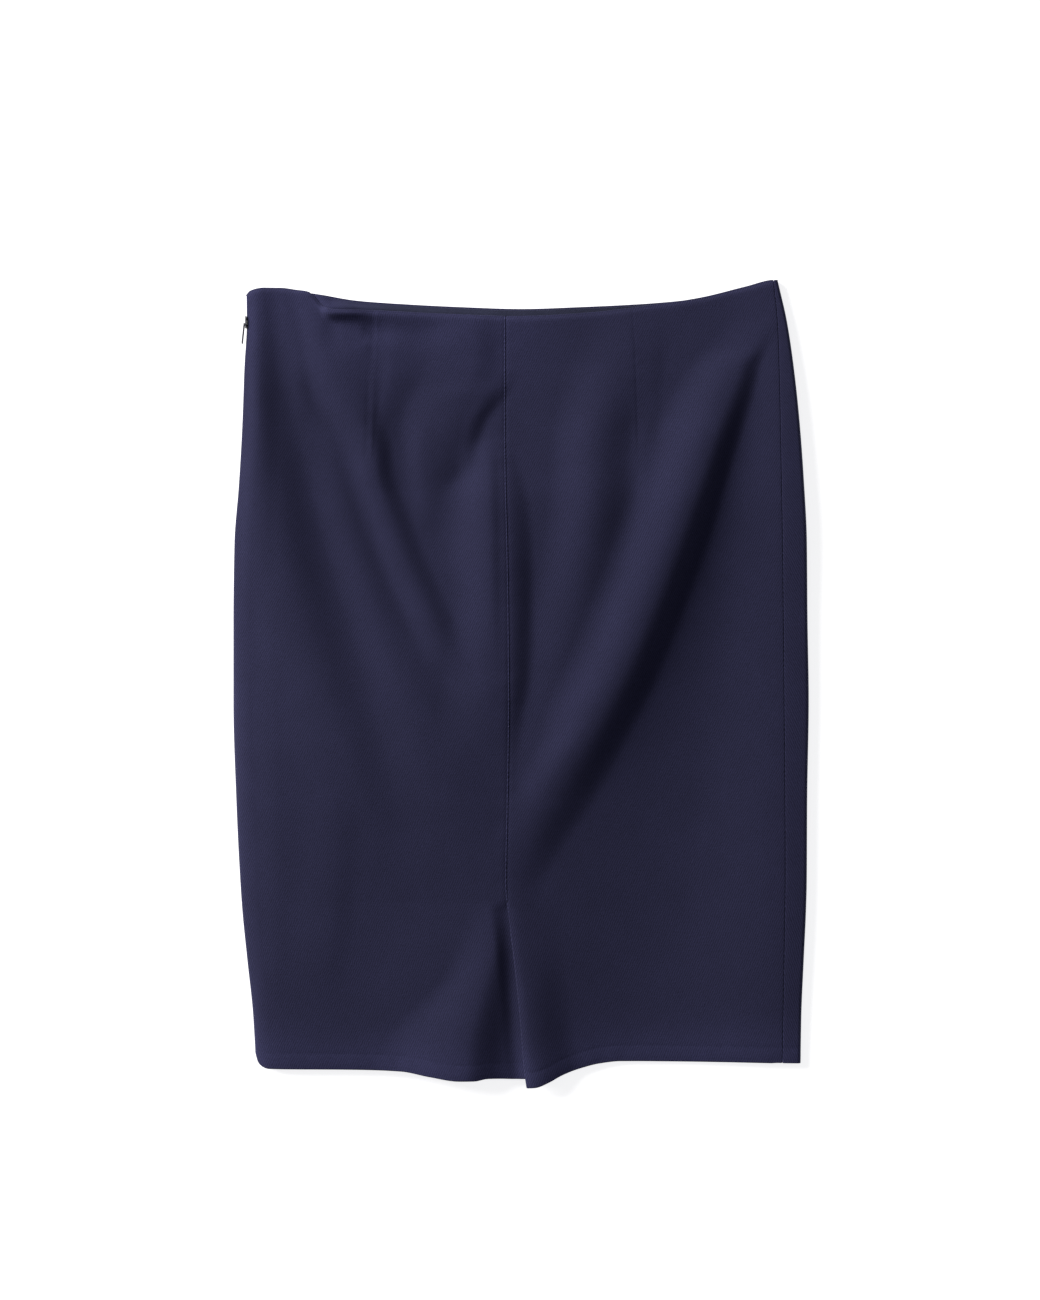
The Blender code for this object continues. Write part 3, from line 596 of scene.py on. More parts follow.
WAIST_DIP = 1.3  # how far the back's waist edge turns down
WAIST_DIP_WIDTH = 1.9
SEAM_DIP = 0.30  # how far the cloth sinks at a stitched seam
SEAM_DIP_WIDTH = 1.7
SEAM_BEYOND = 0.6  # from a piece's sewn edge to the middle of the seam
SEAM_CLOSES = Span(-2.0, 8.0)  # up from the vent's top: the seam follows on from the open vent
SIDE_SEAM = 0.28  # how marked the side seam is beside the centre one
PUCKER = 0.14  # unevenness along a stitched seam
PUCKER_PITCH = 17.0
PUCKER_REACH = 7.0
EDGE_DIP = 0.35  # how far a pressed, folded edge turns down
EDGE_DIP_WIDTH = 2.4
STITCH_DIP = 0.22  # how far the hem's stitching pulls the cloth in
STITCH_DIP_WIDTH = 1.5
STITCH_UNEVEN = 0.2  # share of it that changes from place to place
STITCH_PITCH = 11.0
HEM_WAVE = 0.12  # unevenness of the pressed hem
HEM_WAVE_PITCH = 23.0
HEM_WAVE_UP = 5.0  # from the hem's edge to the middle of its waves
HEM_WAVE_WIDTH = 6.0
FRONT_FLAT_LEFT = Span(0.0, 12.0)  # in from the left curl: the front's creases begin
FRONT_FLAT_RIGHT = Span(14.0, 26.0)  # in from the right curl: the same
FACING_WALL = 0.8
FACING_WAVE = 0.15  # unevenness of the facing
FACING_WAVE_PITCH = 31.0
FACING_DIP = 0.3  # how far the facing's upper edge turns down
FACING_DIP_WIDTH = 2.0
PRESSED_AND_PAINTED_HEM = 46.0  # how far up from the hem the cloth is paler: the nap that the iron smoothed, and painted light
PRESSED_AND_PAINTED_WAIST = 95.0  # and how far down from the waist; below the facing's depth this paler band is painted light
PRESSED_AND_PAINTED_LESS = 0.85  # share by which the waist's paler band, pressed nap and painted light, is weaker on the right half
PRESSED_AND_PAINTED_FADES = Span(-30.0, 60.0)  # along X: the waist's paler band fades to the right half's

# Where each row of sewing starts along its wave, so that no two look alike
PHASES = {
    "left hem": 0.4,
    "right hem": 1.7,
    "front hem": 2.9,
    "centre seam": 0.9,
    "side seam": 2.2,
    "facing": 0.5,
}

# Mesh lines: the length and width that they are spread over, where they lie close together, and
# how close they lie there
BACK_FOOT = -307.6  # the back's hem at the centre
BACK_TOP = 286.4  # the back's waist at the centre
LEFT_WIDTH = 198.0  # from the roll to the centre seam
LEFT_DART = 96.0  # from the roll to the dart
RIGHT_WIDTH = 215.0
RIGHT_DART = 103.0  # from the centre seam to the dart
FRONT_LENGTH = 598.0
FRONT_WIDTH = 438.0
FRONT_DARTS = (118.0, 306.0)
FRONT_TOP_WIDTH = 16.0  # from the right edge to the side seam, on top
FINE_ROWS = 0.6
FINE_COLUMNS = 0.45
FRONT_COARSER = 2  # the front's columns are this much further apart than the back's
FRONT_ROWS_COARSER = 1.7
FRONT_TOP_PITCH = 1.2
FRONT_TOP_FINE = 0.4
FACING_PITCH = 3.0
FACING_FINE = 1.0
FACING_ROW_PITCH = 2.4
FACING_ROW_FINE = 0.5
ROLL_LINES = 9
CURL_LINES = 8
WRAP_LINES = 17
UNDERLAP_LINES = 20

# The zip's finer form. Each rounding is a width and a number of segments.
ROUNDING = (0.2, 3)
TOOTH = (0.72, 0.86, 1.05)
TOOTH_TIP = (0.8, 0.7, 1)  # shares to which a tooth narrows at its ends
TOOTH_ROUNDING = (0.2, 2)
FIRST_TOOTH = 1.0  # up from the zip's lower end
LAST_TOOTH = 0.6  # down from its upper end
TEETH_INSET = 0.4  # from the chain's outer face to the middle of the teeth
TEETH_DOWN = 0.2  # from the seam's height to the middle of the teeth
TEETH_APART = 0.14  # from there to the teeth of either side
SLIDER_WAIST = 2.6  # from the slider's middle to where it begins to narrow
SLIDER_TOP = 0.71  # shares to which it narrows at its ends
SLIDER_FOOT = 0.82
SLIDER_RIM = 0.6  # round the sunk panel
SLIDER_PANEL = 0.18  # its depth
SLIDER_ROUNDING = (0.22, 3)
BRIDGE_SUNK = 0.35  # from the slider's face to the bridge's ends
BRIDGE_REACH = 2.75  # from the bridge's middle to the middle of each foot
BRIDGE_THICKNESS = 1.3
BRIDGE_FLATTENED = 0.78  # its height as a share of half a circle's
BRIDGE_STEPS = 14
PULL_TIP = 1.6  # length over which the pull narrows
PULL_TIP_SHARES = (0.8, 1, 0.5)
PULL_RIM = 0.75  # round the sunk panel on either side
PULL_PANEL = 0.2  # its depth
FORK_BEYOND = 0.5  # how far the fork's arms pass the crossbar's axis
CROSSBAR_SIDES = 16
CROSSBAR_RADIUS = 0.4
CROSSBAR_HELD = 0.5  # how far the crossbar reaches into each arm
CROSSBAR_ROUNDING = (0.08, 2)
FACES_THAT_WAY = 0.9  # least part of a face's normal along an axis for it to face that way

# The studio, in metres
FLOOR_SIZE = 60.0
FLOOR_BELOW = 0.00005  # a hair below the cloth, so that the two never fight for the same place
KEY_SIZE = 3.6
KEY_DISTANCE = 6.0
BACKDROP = 0.95  # brightness of what lies beyond the floor
VIEW_MIDDLE = Vector((-0.0008, 0.0261, 0.006))
VIEW_LENGTH = 1.014  # what the long side of the view takes in at the cloth's height
SENSOR = 36.0  # millimetres

# Cut size of what shows of each piece, in metres: width, length, and area
Cut = namedtuple("Cut", "width length area")


def column(table, name):
    return np.array([getattr(row, name) for row in table], float)


def read(table, key, name, at):
    """One column of a table as a smooth curve against another, level beyond the table's ends."""
    keys, values = column(table, key), column(table, name)
    steps = np.diff(keys)
    rises = np.diff(values) / steps
    slopes = np.zeros(len(keys))
    same_way = rises[:-1] * rises[1:] > 0
    near, far = 2 * steps[1:] + steps[:-1], steps[1:] + 2 * steps[:-1]
    before = np.where(same_way, rises[:-1], 1.0)
    after = np.where(same_way, rises[1:], 1.0)
    slopes[1:-1] = np.where(same_way, (near + far) / (near / before + far / after), 0.0)
    slopes[0], slopes[-1] = rises[0], rises[-1]
    at = np.clip(np.asarray(at, float), keys[0], keys[-1])
    i = np.clip(np.searchsorted(keys, at) - 1, 0, len(steps) - 1)
    t = (at - keys[i]) / steps[i]
    rest = 1 - t
    ends = values[i] * rest**2 * (1 + 2 * t) + values[i + 1] * t**2 * (3 - 2 * t)
    return ends + steps[i] * t * rest * (slopes[i] * rest - slopes[i + 1] * t)


def ease(value, start, end):
    """0 before start, 1 after end, and smooth between them."""
    t = np.clip((value - start) / (end - start), 0, 1)
    return t * t * (3 - 2 * t)


def mix(a, b, t):
    return a + (b - a) * t


def bell(distance, width):
    return np.exp(-((distance / width) ** 2))


def uneven(along, pitch, phase):
    """A wave whose length and height keep changing, for what a machine never sews quite evenly.

    It bends over 3.7 pitches and swells over 5.3, so that the three never fall together."""
    bend = 1.3 * np.sin(2 * np.pi * along / (pitch * 3.7) + phase)
    swing = 0.6 + 0.4 * np.sin(2 * np.pi * along / (pitch * 5.3) + 2 * phase)
    return np.sin(2 * np.pi * along / pitch + bend) * swing


def ridge(fold, x, y):
    side = x - read(fold.crests, "y", "x", y)
    left = read(fold.crests, "y", "left", y)
    right = read(fold.crests, "y", "right", y)
    reach = np.clip(np.abs(side) / np.where(side < 0, left, right), 0, 1)
    reach = np.where(side > 0, reach**fold.skew, reach)
    return read(fold.crests, "y", "height", y) * (0.5 + 0.5 * np.cos(np.pi * reach))


def ridges(folds, panel, x, y):
    return sum(ridge(fold, x, y) for fold in folds if panel in fold.panels)


def level(panel, x, y):
    """Height of the outer face of the back's left or right half."""
    return BACK_LEVEL + ridges(FOLDS, panel, x, y)


def left_level(x, y):
    """The left half dips under the overlap beside the vent, close below it at the vent's top."""
    down, across = VENT_TOP - y, x - read(SECTIONS, "y", "centre", y)
    dip = np.maximum(ease(down, *DIP_DOWN), ease(across, *DIP_UNDER)) * ease(across, *DIP_BESIDE)
    close_below = level("right", x, y) - SOLID_CLOTH - UNDERLAP_GAP
    underlap = close_below - UNDERLAP_DROP * ease(down, *UNDERLAP_FALL)
    return mix(level("left", x, y), underlap, dip)


def dart_relief(panel, x, y):
    """A sunk line with the cloth beside it lifted by the intake, both gone at the dart's tip."""
    relief = 0 * x
    for dart in DARTS:
        if dart.panel != panel:
            continue
        tip, top = dart.points[0].y, dart.points[-1].y
        side = (x - read(dart.points, "y", "x", y)) * dart.side
        held = ease(y - tip, *DART_HELD)
        reach = DART_TIP_WIDTH + DART_GAIN * ease(y, tip, top)
        lift = ease(side, 0.0, DART_RISE) * (1 - ease(side, DART_RISE, reach + DART_FALL))
        puff = PUFF * bell(side, PUFF_WIDTH) * bell(y - tip + PUFF_DOWN, PUFF_LENGTH)
        groove = DART_GROOVE * bell(side, DART_GROOVE_WIDTH)
        pucker = PUCKER * uneven(y, DART_PUCKER_PITCH, dart.side) * bell(side, DART_PUCKER_REACH)
        relief = relief + held * (dart.intake * (lift - groove) + pucker) + puff
    return relief


def hollow_relief(x, below):
    """The lip and the hollow at a distance below the waist edge."""
    lip, drop = read(WAIST_HOLLOW, "x", "lip", x), read(WAIST_HOLLOW, "x", "drop", x)
    near, far = read(WAIST_HOLLOW, "x", "near", x), read(WAIST_HOLLOW, "x", "far", x)
    fallen = ease(below, LIP_DEPTH, near)
    return lip * (1 - fallen) - drop * fallen * (1 - ease(below, near, far))


def seam_relief(distance, along, name):
    """What a stitched seam does to the cloth at a distance from it."""
    ripple = PUCKER * uneven(along, PUCKER_PITCH, PHASES[name]) * bell(distance, PUCKER_REACH)
    return ripple - SEAM_DIP * bell(distance, SEAM_DIP_WIDTH)


def edge_relief(distance):
    """What pressing does to a folded edge at a distance from it."""
    return -EDGE_DIP * bell(distance, EDGE_DIP_WIDTH)


def waist_relief(distance):
    """The back's understitched waist edge, which turns down at a distance from it."""
    return -WAIST_DIP * bell(distance, WAIST_DIP_WIDTH)


def waist_lift(x, y):
    """How far the front's waist stands off the floor: most at the back's edge, less in the strip
    above it, and not at all further down, where the back hides it."""
    edge, top = read(WAIST_LEFT, "x", "y", x), read(WAIST_FRONT, "x", "y", x)
    fall = STRIP_FALL * ease(y, edge, np.maximum(top, edge + STRIP_LEAST))
    lift = read(WAIST_LIFT, "x", "height", x) * (1 - fall * ease(x, *STRIP_FALL_ACROSS))
    return lift * ease(y, edge - LIFT_FOOT, edge) * (1 - ease(x, *LIFT_ENDS))


def hem_relief(above, x, name):
    """The pressed hem edge, and its row of stitching."""
    phase = PHASES[name]
    depth = STITCH_DIP * (1 - STITCH_UNEVEN + STITCH_UNEVEN * uneven(x, STITCH_PITCH, phase))
    groove = depth * bell(above - HEM_DEPTH, STITCH_DIP_WIDTH)
    wave = HEM_WAVE * uneven(x, HEM_WAVE_PITCH, phase) * bell(above - HEM_WAVE_UP, HEM_WAVE_WIDTH)
    return edge_relief(above) - groove + wave


def above_hem(ends, x, y):
    return y - read(ends.hem, "x", "y", x)


def below_waist(ends, x, y):
    return read(ends.waist, "x", "y", x) - y


def pressing_and_painted_light(ends, x, y):
    """How much paler the cloth is at the hem and waist: partly the nap that the iron smoothed over
    the doubled cloth, partly painted light.
    """
    at_hem = 1 - ease(above_hem(ends, x, y), 0, PRESSED_AND_PAINTED_HEM)
    at_waist = 1 - ease(below_waist(ends, x, y), 0, PRESSED_AND_PAINTED_WAIST)
    return np.maximum(at_hem, at_waist * (1 - PRESSED_AND_PAINTED_LESS * ease(x, *PRESSED_AND_PAINTED_FADES)))


def height_between(ends, x, v):
    """y at the share v of the way from the hem to the waist, at x."""
    return mix(read(ends.hem, "x", "y", x), read(ends.waist, "x", "y", x), v)


def edge_at(name, ends, v):
    """x of an edge or seam at the share v of the way from the hem to the waist."""
    return read(SECTIONS, "y", name, height_between(ends, NEAR[name], v))


def hem_layer(ends, x, y, edge_distance):
    """What the turned hem adds to the wall; it tapers out at the side edges."""
    beyond = above_hem(ends, x, y) - HEM_DEPTH
    return HEM_EXTRA * (1 - ease(beyond, 0, HEM_STEP)) * ease(edge_distance, *HEM_TAPER)


# ---------------------------------------------------------------------------------------------
# Where each piece of cloth lies. t runs across it and v from its hem to its waist. Each function
# gives x, y, the height z of the outer face, and the thickness of the wall.
# ---------------------------------------------------------------------------------------------


def place_back_left(t, v, wall):
    """t is 0 to 1 round the left roll, 1 to 2 across the panel and 2 to 3 over the underlap."""
    edge = edge_at("left", LEFT_ENDS, v)
    centre = edge_at("centre", LEFT_ENDS, v) - (SEWN_GAP + wall) / 2
    angle = np.clip(t, -1, 1) * math.pi / 2
    x = edge + ROLL * (1 - np.cos(angle))
    x = np.where(t > 1, mix(edge + ROLL, centre, t - 1), x)
    x = np.where(t > 2, centre + UNDERLAP_WIDTH * (t - 2), x)
    y = height_between(LEFT_ENDS, x, v)
    above, below = above_hem(LEFT_ENDS, x, y), below_waist(LEFT_ENDS, x, y)
    seam = read(LEFT_SEAM, "y", "level", y) + (read(LEFT_SEAM, "y", "gap", y) + wall) / 2
    sewn = ease(y - VENT_TOP, *SEAM_CLOSES) * np.where(t > 2, 0.0, 1.0)
    z = left_level(x, y) + ridges(CREASES, "left", x, y) + dart_relief("left", x, y)
    z = z + hollow_relief(x, below) + waist_relief(below) + hem_relief(above, x, "left hem")
    z = z + sewn * seam_relief(centre + SEAM_BEYOND - x, y, "centre seam")
    z = mix(seam, z, np.where(t < 1, np.sin(angle), 1.0))
    return x, y, z, wall + hem_layer(LEFT_ENDS, x, y, x - edge)


def place_back_right(t, v, wall):
    """t is 0 at the centre back seam or the vent's edge and 1 at the side seam."""
    start = edge_at("centre", RIGHT_ENDS, v) + (SEWN_GAP + wall) / 2
    end = edge_at("seam", RIGHT_ENDS, v) - (SEWN_GAP + wall) / 2
    x = mix(start, end, t)
    y = height_between(RIGHT_ENDS, x, v)
    above, below = above_hem(RIGHT_ENDS, x, y), below_waist(RIGHT_ENDS, x, y)
    sewn = ease(y - VENT_TOP, *SEAM_CLOSES)
    z = level("right", x, y) + ridges(CREASES, "right", x, y) + dart_relief("right", x, y)
    z = z + waist_relief(below) + hem_relief(above, x, "right hem")
    z = z + sewn * seam_relief(x - start + SEAM_BEYOND, y, "centre seam")
    z = z + (1 - sewn) * edge_relief(x - start)
    z = z + SIDE_SEAM * seam_relief(end + SEAM_BEYOND - x, y, "side seam")
    facing = VENT_EXTRA * ease(VENT_TOP - y, *VENT_FACING_DOWN)
    facing = facing * (1 - ease(x - start - UNDERLAP_WIDTH, *VENT_FACING_ACROSS))
    return x, y, z, wall + np.maximum(facing, hem_layer(RIGHT_ENDS, x, y, end - x))


def place_front(t, v, wall):
    """t is 0 to 1 down the left curl, 1 to 2 underneath, 2 to 3 round the right edge and 3 to 4
    over the top to the side seam."""
    left, right = edge_at("left", FRONT_ENDS, v), edge_at("right", FRONT_ENDS, v)
    seam = edge_at("seam", FRONT_ENDS, v) + (SEWN_GAP + wall) / 2
    curl = np.clip(t, -1, 1) * math.pi / 2
    wrap = (np.clip(t, 2, 3) - 2.5) * math.pi
    x = left + CURL * (1 - np.cos(curl))
    x = np.where(t > 1, mix(left + CURL, right - CURL, t - 1), x)
    x = np.where(t > 2, right - CURL + CURL * np.cos(wrap), x)
    x = np.where(t > 3, mix(right - CURL, seam, t - 3), x)
    y = height_between(FRONT_ENDS, x, v)
    above, below = above_hem(FRONT_ENDS, x, y), below_waist(FRONT_ENDS, x, y)
    top = read(LEFT_SEAM, "y", "level", y) - (read(LEFT_SEAM, "y", "gap", y) + wall) / 2
    pressed = edge_relief(below) + hem_relief(above, x, "front hem")
    flat = ease(x - left - CURL, *FRONT_FLAT_LEFT) * ease(right - x - CURL, *FRONT_FLAT_RIGHT)
    under = ridges(FRONT_CREASES, "left", x, y) - dart_relief("front", x, y) - pressed
    under = np.maximum(under * flat, 0) + waist_lift(x, y)
    over = level("right", x, y) + pressed
    over = over + SIDE_SEAM * seam_relief(x - seam + SEAM_BEYOND, y, "side seam")
    z = np.where(t < 1, top * (1 - np.sin(curl)), under)
    z = np.where(t > 2, over * (0.5 + 0.5 * np.sin(wrap)), z)
    return x, y, z, wall + hem_layer(FRONT_ENDS, x, y, np.minimum(x - left, seam - HEM_SHORT - x))


def place_facing(t, v, wall):
    """The inside of the front at the waist, of which a strip shows above the back's edge."""
    x = mix(FACING_LEFT, FACING_RIGHT, t)
    below = FACING_DEPTH * (1 - v)
    y = read(WAIST_FRONT, "x", "y", x) - FACING_INSET - below
    wave = FACING_WAVE * (uneven(x, FACING_WAVE_PITCH, PHASES["facing"]) - 1)
    z = FACING_LEVEL + wave - FACING_DIP * bell(below, FACING_DIP_WIDTH) + waist_lift(x, y)
    return x, y, z, wall + 0 * y


# ---------------------------------------------------------------------------------------------
# Walls of cloth
# ---------------------------------------------------------------------------------------------

NUDGE = 1e-4  # step in t or v over which a surface's slope is taken
SPREAD = 0.3  # how fast the mesh lines draw apart away from a fine spot
RIM_SHARES = (0.2, 0.5, 0.8)  # of the half turn of a rounded edge, at each of which it has points


def walked(length, pitch, fine, spots):
    """Shares of a length at which mesh lines lie: pitch apart, and finer near the given spots."""
    at = [0.0]
    while at[-1] < length:
        gap = min(abs(at[-1] - spot) for spot in spots)
        at.append(at[-1] + min(pitch, fine + SPREAD * gap))
    return np.array(at) / at[-1]


def wall_sides(place, columns, rows, wall, outward):
    """The outer points, the inner ones a wall's thickness behind them, and the way out."""
    t, v = np.meshgrid(np.array(columns, float), np.array(rows, float))

    def outer_points(t, v):
        return np.stack(place(t, v, wall)[:3], -1)

    along = outer_points(t + NUDGE, v) - outer_points(t - NUDGE, v)
    up = outer_points(t, v + NUDGE) - outer_points(t, v - NUDGE)
    normal = np.cross(along, up) * outward
    normal /= np.linalg.norm(normal, axis=-1, keepdims=True)
    outer, thick = outer_points(t, v), place(t, v, wall)[3]
    return outer, outer - normal * thick[..., None], normal


def grid_cells(columns, rows, outward, present):
    """The four corners of each cell that is cloth, and the edges that only one such cell has."""
    count = len(columns)
    cells, edges = [], {}
    for j in range(len(rows) - 1):
        for i in range(count - 1):
            if present and not present(columns[i], rows[j]):
                continue
            k = j * count + i
            corners = [k, k + 1, k + count + 1, k + count][::outward]
            cells.append(corners)
            for a, b in zip(corners, corners[1:] + corners[:1]):
                if (b, a) in edges:
                    del edges[b, a]
                else:
                    edges[a, b] = True
    return cells, list(edges)


def ways_out(edges, outer, normal):
    """The way out of the cloth at each point of its open edges."""
    ways = {}
    for a, b in edges:
        out = np.cross(outer[b] - outer[a], normal[a] + normal[b])
        for k in (a, b):
            ways[k] = ways.get(k, 0) + out / np.linalg.norm(out)
    return {k: out / np.linalg.norm(out) for k, out in ways.items()}


def cloth_object(name, place, ends, columns, rows, wall, outward=1, present=None):
    """A closed wall with half-round edges: place gives its outer points, and ends its hem and
    waist. outward is -1 where the outer side faces down. present says which cells of the grid
    are cloth."""
    outer, inner, normal = wall_sides(place, columns, rows, wall, outward)
    steps = np.linalg.norm(np.diff(outer, axis=1, prepend=outer[:, :1]), axis=-1)
    threads = np.stack((np.cumsum(steps, axis=1), outer[..., 1]), -1).reshape(-1, 2)
    # Paler bands at the hem and waist: partly pressed nap, partly painted light
    pressed = pressing_and_painted_light(ends, outer[..., 0], outer[..., 1]).ravel()
    outer, inner, normal = (side.reshape(-1, 3) for side in (outer, inner, normal))
    cells, edges = grid_cells(columns, rows, outward, present)

    total = len(outer)
    points, origins = [*outer, *inner], [*range(total)] * 2
    faces = []
    for corners in cells:
        faces.append(corners)
        faces.append([k + total for k in reversed(corners)])
    rim = {}
    for k, out in ways_out(edges, outer, normal).items():
        middle, half = (outer[k] + inner[k]) / 2, (outer[k] - inner[k]) / 2
        rim[k] = [k]
        for share in RIM_SHARES:
            turn = math.pi * share
            bulge = out * np.linalg.norm(half) * math.sin(turn)
            rim[k].append(len(points))
            points.append(middle + half * math.cos(turn) + bulge)
            origins.append(k)
        rim[k].append(k + total)
    for a, b in edges:
        for k in range(len(rim[a]) - 1):
            faces.append([rim[b][k], rim[a][k], rim[a][k + 1], rim[b][k + 1]])
    return mesh_object(name, np.array(points) * MM, faces, threads[origins] * MM, pressed[origins])


def mesh_object(name, points, faces, uvs, pressed):
    """An object from points and faces, smooth all over, with the place in the weave and the
    strength of the paler bands at each point, which are partly pressed nap and partly painted light."""
    used = np.unique([k for face in faces for k in face])
    renumber = np.zeros(len(points), int)
    renumber[used] = np.arange(len(used))
    data = bpy.data.meshes.new(name)
    data.from_pydata(points[used].tolist(), [], [[int(renumber[k]) for k in f] for f in faces])
    corners = np.zeros(len(data.loops), np.int32)
    data.loops.foreach_get("vertex_index", corners)
    layer = data.uv_layers.new(name="Threads")
    layer.data.foreach_set("uv", uvs[used][corners].astype(np.float32).ravel())
    layer = data.attributes.new("Pressed", "FLOAT", "POINT")
    layer.data.foreach_set("value", pressed[used].astype(np.float32))
    data.shade_smooth()
    data.validate()
    obj = bpy.data.objects.new(name, data)
    bpy.context.scene.collection.objects.link(obj)
    return obj


# ---------------------------------------------------------------------------------------------
# Materials
# ---------------------------------------------------------------------------------------------

CLOTH = "Navy wool twill"
METAL = "Dark lacquered zinc"

# Real sizes of the patterns, in millimetres
TUFT = 1.613  # of the nap
SLUB = 1.111  # thick place in the yarn
SLUB_STRETCH = (0.16, 1.3, 1.0)  # shares of its scale along and across the yarn
DYE_CLOUD = 35.7  # patch over which the dye takes a little more or less
PLY_TWIST = 0.349  # of the sewing thread
NYLON_MOTTLE = 1.25
ZINC_MOTTLE = 0.714
FLOOR_MOTTLE = 333.3
TWILL_SLANT = math.radians(27)
RUBBED = 1.8  # how many times paler the lacquer is where it has rubbed


def set_inputs(node, inputs):
    """Gives each named input a value, or a link from a socket or from a node's first output."""
    for name, value in inputs.items():
        if isinstance(value, bpy.types.Node):
            value = value.outputs[0]
        if isinstance(value, bpy.types.NodeSocket):
            node.id_data.links.new(value, node.inputs[name])
        else:
            node.inputs[name].default_value = value


def add_node(tree, kind, inputs=None, **settings):
    """Adds a node with its settings, and sets or links its inputs."""
    node = tree.nodes.new("ShaderNode" + kind)
    for name, value in settings.items():
        setattr(node, name, value)
    set_inputs(node, inputs or {})
    return node


def new_material(name):
    """An empty procedural material: its tree, and its shader joined to the output."""
    material = bpy.data.materials.new(name)
    material.use_nodes = True
    tree = material.node_tree
    tree.nodes.clear()
    shader = add_node(tree, "BsdfPrincipled")
    add_node(tree, "OutputMaterial", {"Surface": shader})
    return material, tree, shader


def material_named(name, make, *details):
    """The material of that name, which is made when it is first asked for."""
    return bpy.data.materials.get(name) or make(name, *details)


def in_mm(tree, place=None):
    """A place in metres, or else the place on the piece, turned to millimetres."""
    place = place or add_node(tree, "TexCoord").outputs["Object"]
    return add_node(tree, "Mapping", {"Vector": place, "Scale": (1 / MM, 1 / MM, 1 / MM)})


def wave_scale(pitch):
    """The scale of a wave texture whose bands lie a pitch apart."""
    return math.pi / 10 / pitch


def wool_twill(name, colour, settings, rolled=None):
    """Wool twill, woven from yarn of about 0.4 mm, piece-dyed and lightly brushed.

    To the eye it is matt, with a soft pale bloom where it turns away, a fine slanting rib that
    the brushed nap half hides, and yarn that takes the dye a little unevenly. The rib is drawn
    about three times as coarse as the real one, so that it shows. rolled is the colour of its
    left end, where the piece rolls over and shows its right side."""
    material, tree, shader = new_material(name)
    mm = in_mm(tree, add_node(tree, "UVMap", uv_map="Threads"))
    nap = add_node(tree, "TexNoise", {
        "Vector": mm, "Scale": 1 / TUFT, "Detail": 4.0, "Roughness": 0.72})
    rib = add_node(tree, "TexWave", {
        "Vector": add_node(tree, "Mapping", {"Vector": mm, "Rotation": (0, 0, TWILL_SLANT)}),
        "Scale": wave_scale(settings.twill_pitch / MM),
        "Distortion": 3.2, "Detail": 2.0, "Detail Scale": 1.6})
    slubs = add_node(tree, "TexNoise", {
        "Vector": add_node(tree, "Mapping", {"Vector": mm, "Scale": SLUB_STRETCH}),
        "Scale": 1 / SLUB, "Detail": 2.0, "Roughness": 0.6})
    clouds = add_node(tree, "TexNoise", {
        "Vector": mm, "Scale": 1 / DYE_CLOUD, "Detail": 5.0, "Roughness": 0.62})
    weave = add_node(tree, "MixRGB", {"Fac": 0.45, "Color1": nap, "Color2": rib})
    weave = add_node(tree, "MixRGB", {"Fac": 0.25, "Color1": weave, "Color2": slubs})
    shade = add_node(tree, "MapRange", {
        "Value": weave, "From Min": 0.25, "From Max": 0.75, "To Min": 0.60, "To Max": 1.45})
    tone = add_node(tree, "MapRange", {
        "Value": clouds, "From Min": 0.3, "From Max": 0.7, "To Min": 0.94, "To Max": 1.06})
    # Paler bands at the hem and waist, partly pressed nap and partly painted light, brighten the
    # colour
    pressed = add_node(tree, "Attribute", attribute_name="Pressed").outputs["Fac"]
    ironed_and_painted_light = add_node(tree, "MapRange", {"Value": pressed, "To Min": 1.0, "To Max": settings.pressed})
    light = add_node(tree, "Math", {0: shade, 1: tone}, operation="MULTIPLY")
    light = add_node(tree, "Math", {0: light, 1: ironed_and_painted_light}, operation="MULTIPLY")
    if rolled:
        place = add_node(tree, "TexCoord").outputs["Object"]
        flat = add_node(tree, "MapRange", {
            "Value": add_node(tree, "SeparateXYZ", {"Vector": place}),
            "From Min": FACING_ROLLED * MM, "From Max": FACING_FLAT * MM})
        colour = add_node(tree, "MixRGB", {
            "Fac": flat, "Color1": (*rolled, 1), "Color2": (*colour, 1)})
    set_inputs(shader, {
        "Base Color": add_node(tree, "VectorMath", {0: colour, "Scale": light}, operation="SCALE"),
        "Normal": add_node(tree, "Bump", {"Height": weave, "Strength": 0.35, "Distance": 0.25 * MM}),
        "Roughness": 0.92,
        "Specular IOR Level": 0.15,
        "Sheen Weight": settings.nap,
        "Sheen Roughness": 0.45,
        "Sheen Tint": (*linear("B8BCE6"), 1),
    })
    return material


def spun_thread(name, colour):
    """Spun polyester thread, twisted from two plies and dyed: matt, with a fine slanting twist."""
    material, tree, shader = new_material(name)
    twist = add_node(tree, "TexWave", {
        "Vector": in_mm(tree), "Scale": wave_scale(PLY_TWIST), "Distortion": 1.5},
        bands_direction="DIAGONAL")
    shade = add_node(tree, "MapRange", {"Value": twist, "To Min": 0.75, "To Max": 1.25})
    set_inputs(shader, {
        "Base Color": add_node(tree, "VectorMath", {0: colour, "Scale": shade}, operation="SCALE"),
        "Normal": add_node(tree, "Bump", {"Height": twist, "Strength": 0.3, "Distance": 0.1 * MM}),
        "Roughness": 0.6,
        "Sheen Weight": 0.2,
    })
    return material


def moulded_nylon(name, colour):
    """Nylon monofilament, coiled and heat-set into teeth: smooth, with a soft gloss."""
    material, tree, shader = new_material(name)
    mottle = add_node(tree, "TexNoise", {
        "Vector": in_mm(tree), "Scale": 1 / NYLON_MOTTLE, "Detail": 3.0})
    shade = add_node(tree, "MapRange", {"Value": mottle, "To Min": 0.8, "To Max": 1.2})
    set_inputs(shader, {
        "Base Color": add_node(tree, "VectorMath", {0: colour, "Scale": shade}, operation="SCALE"),
        "Roughness": 0.42,
    })
    return material


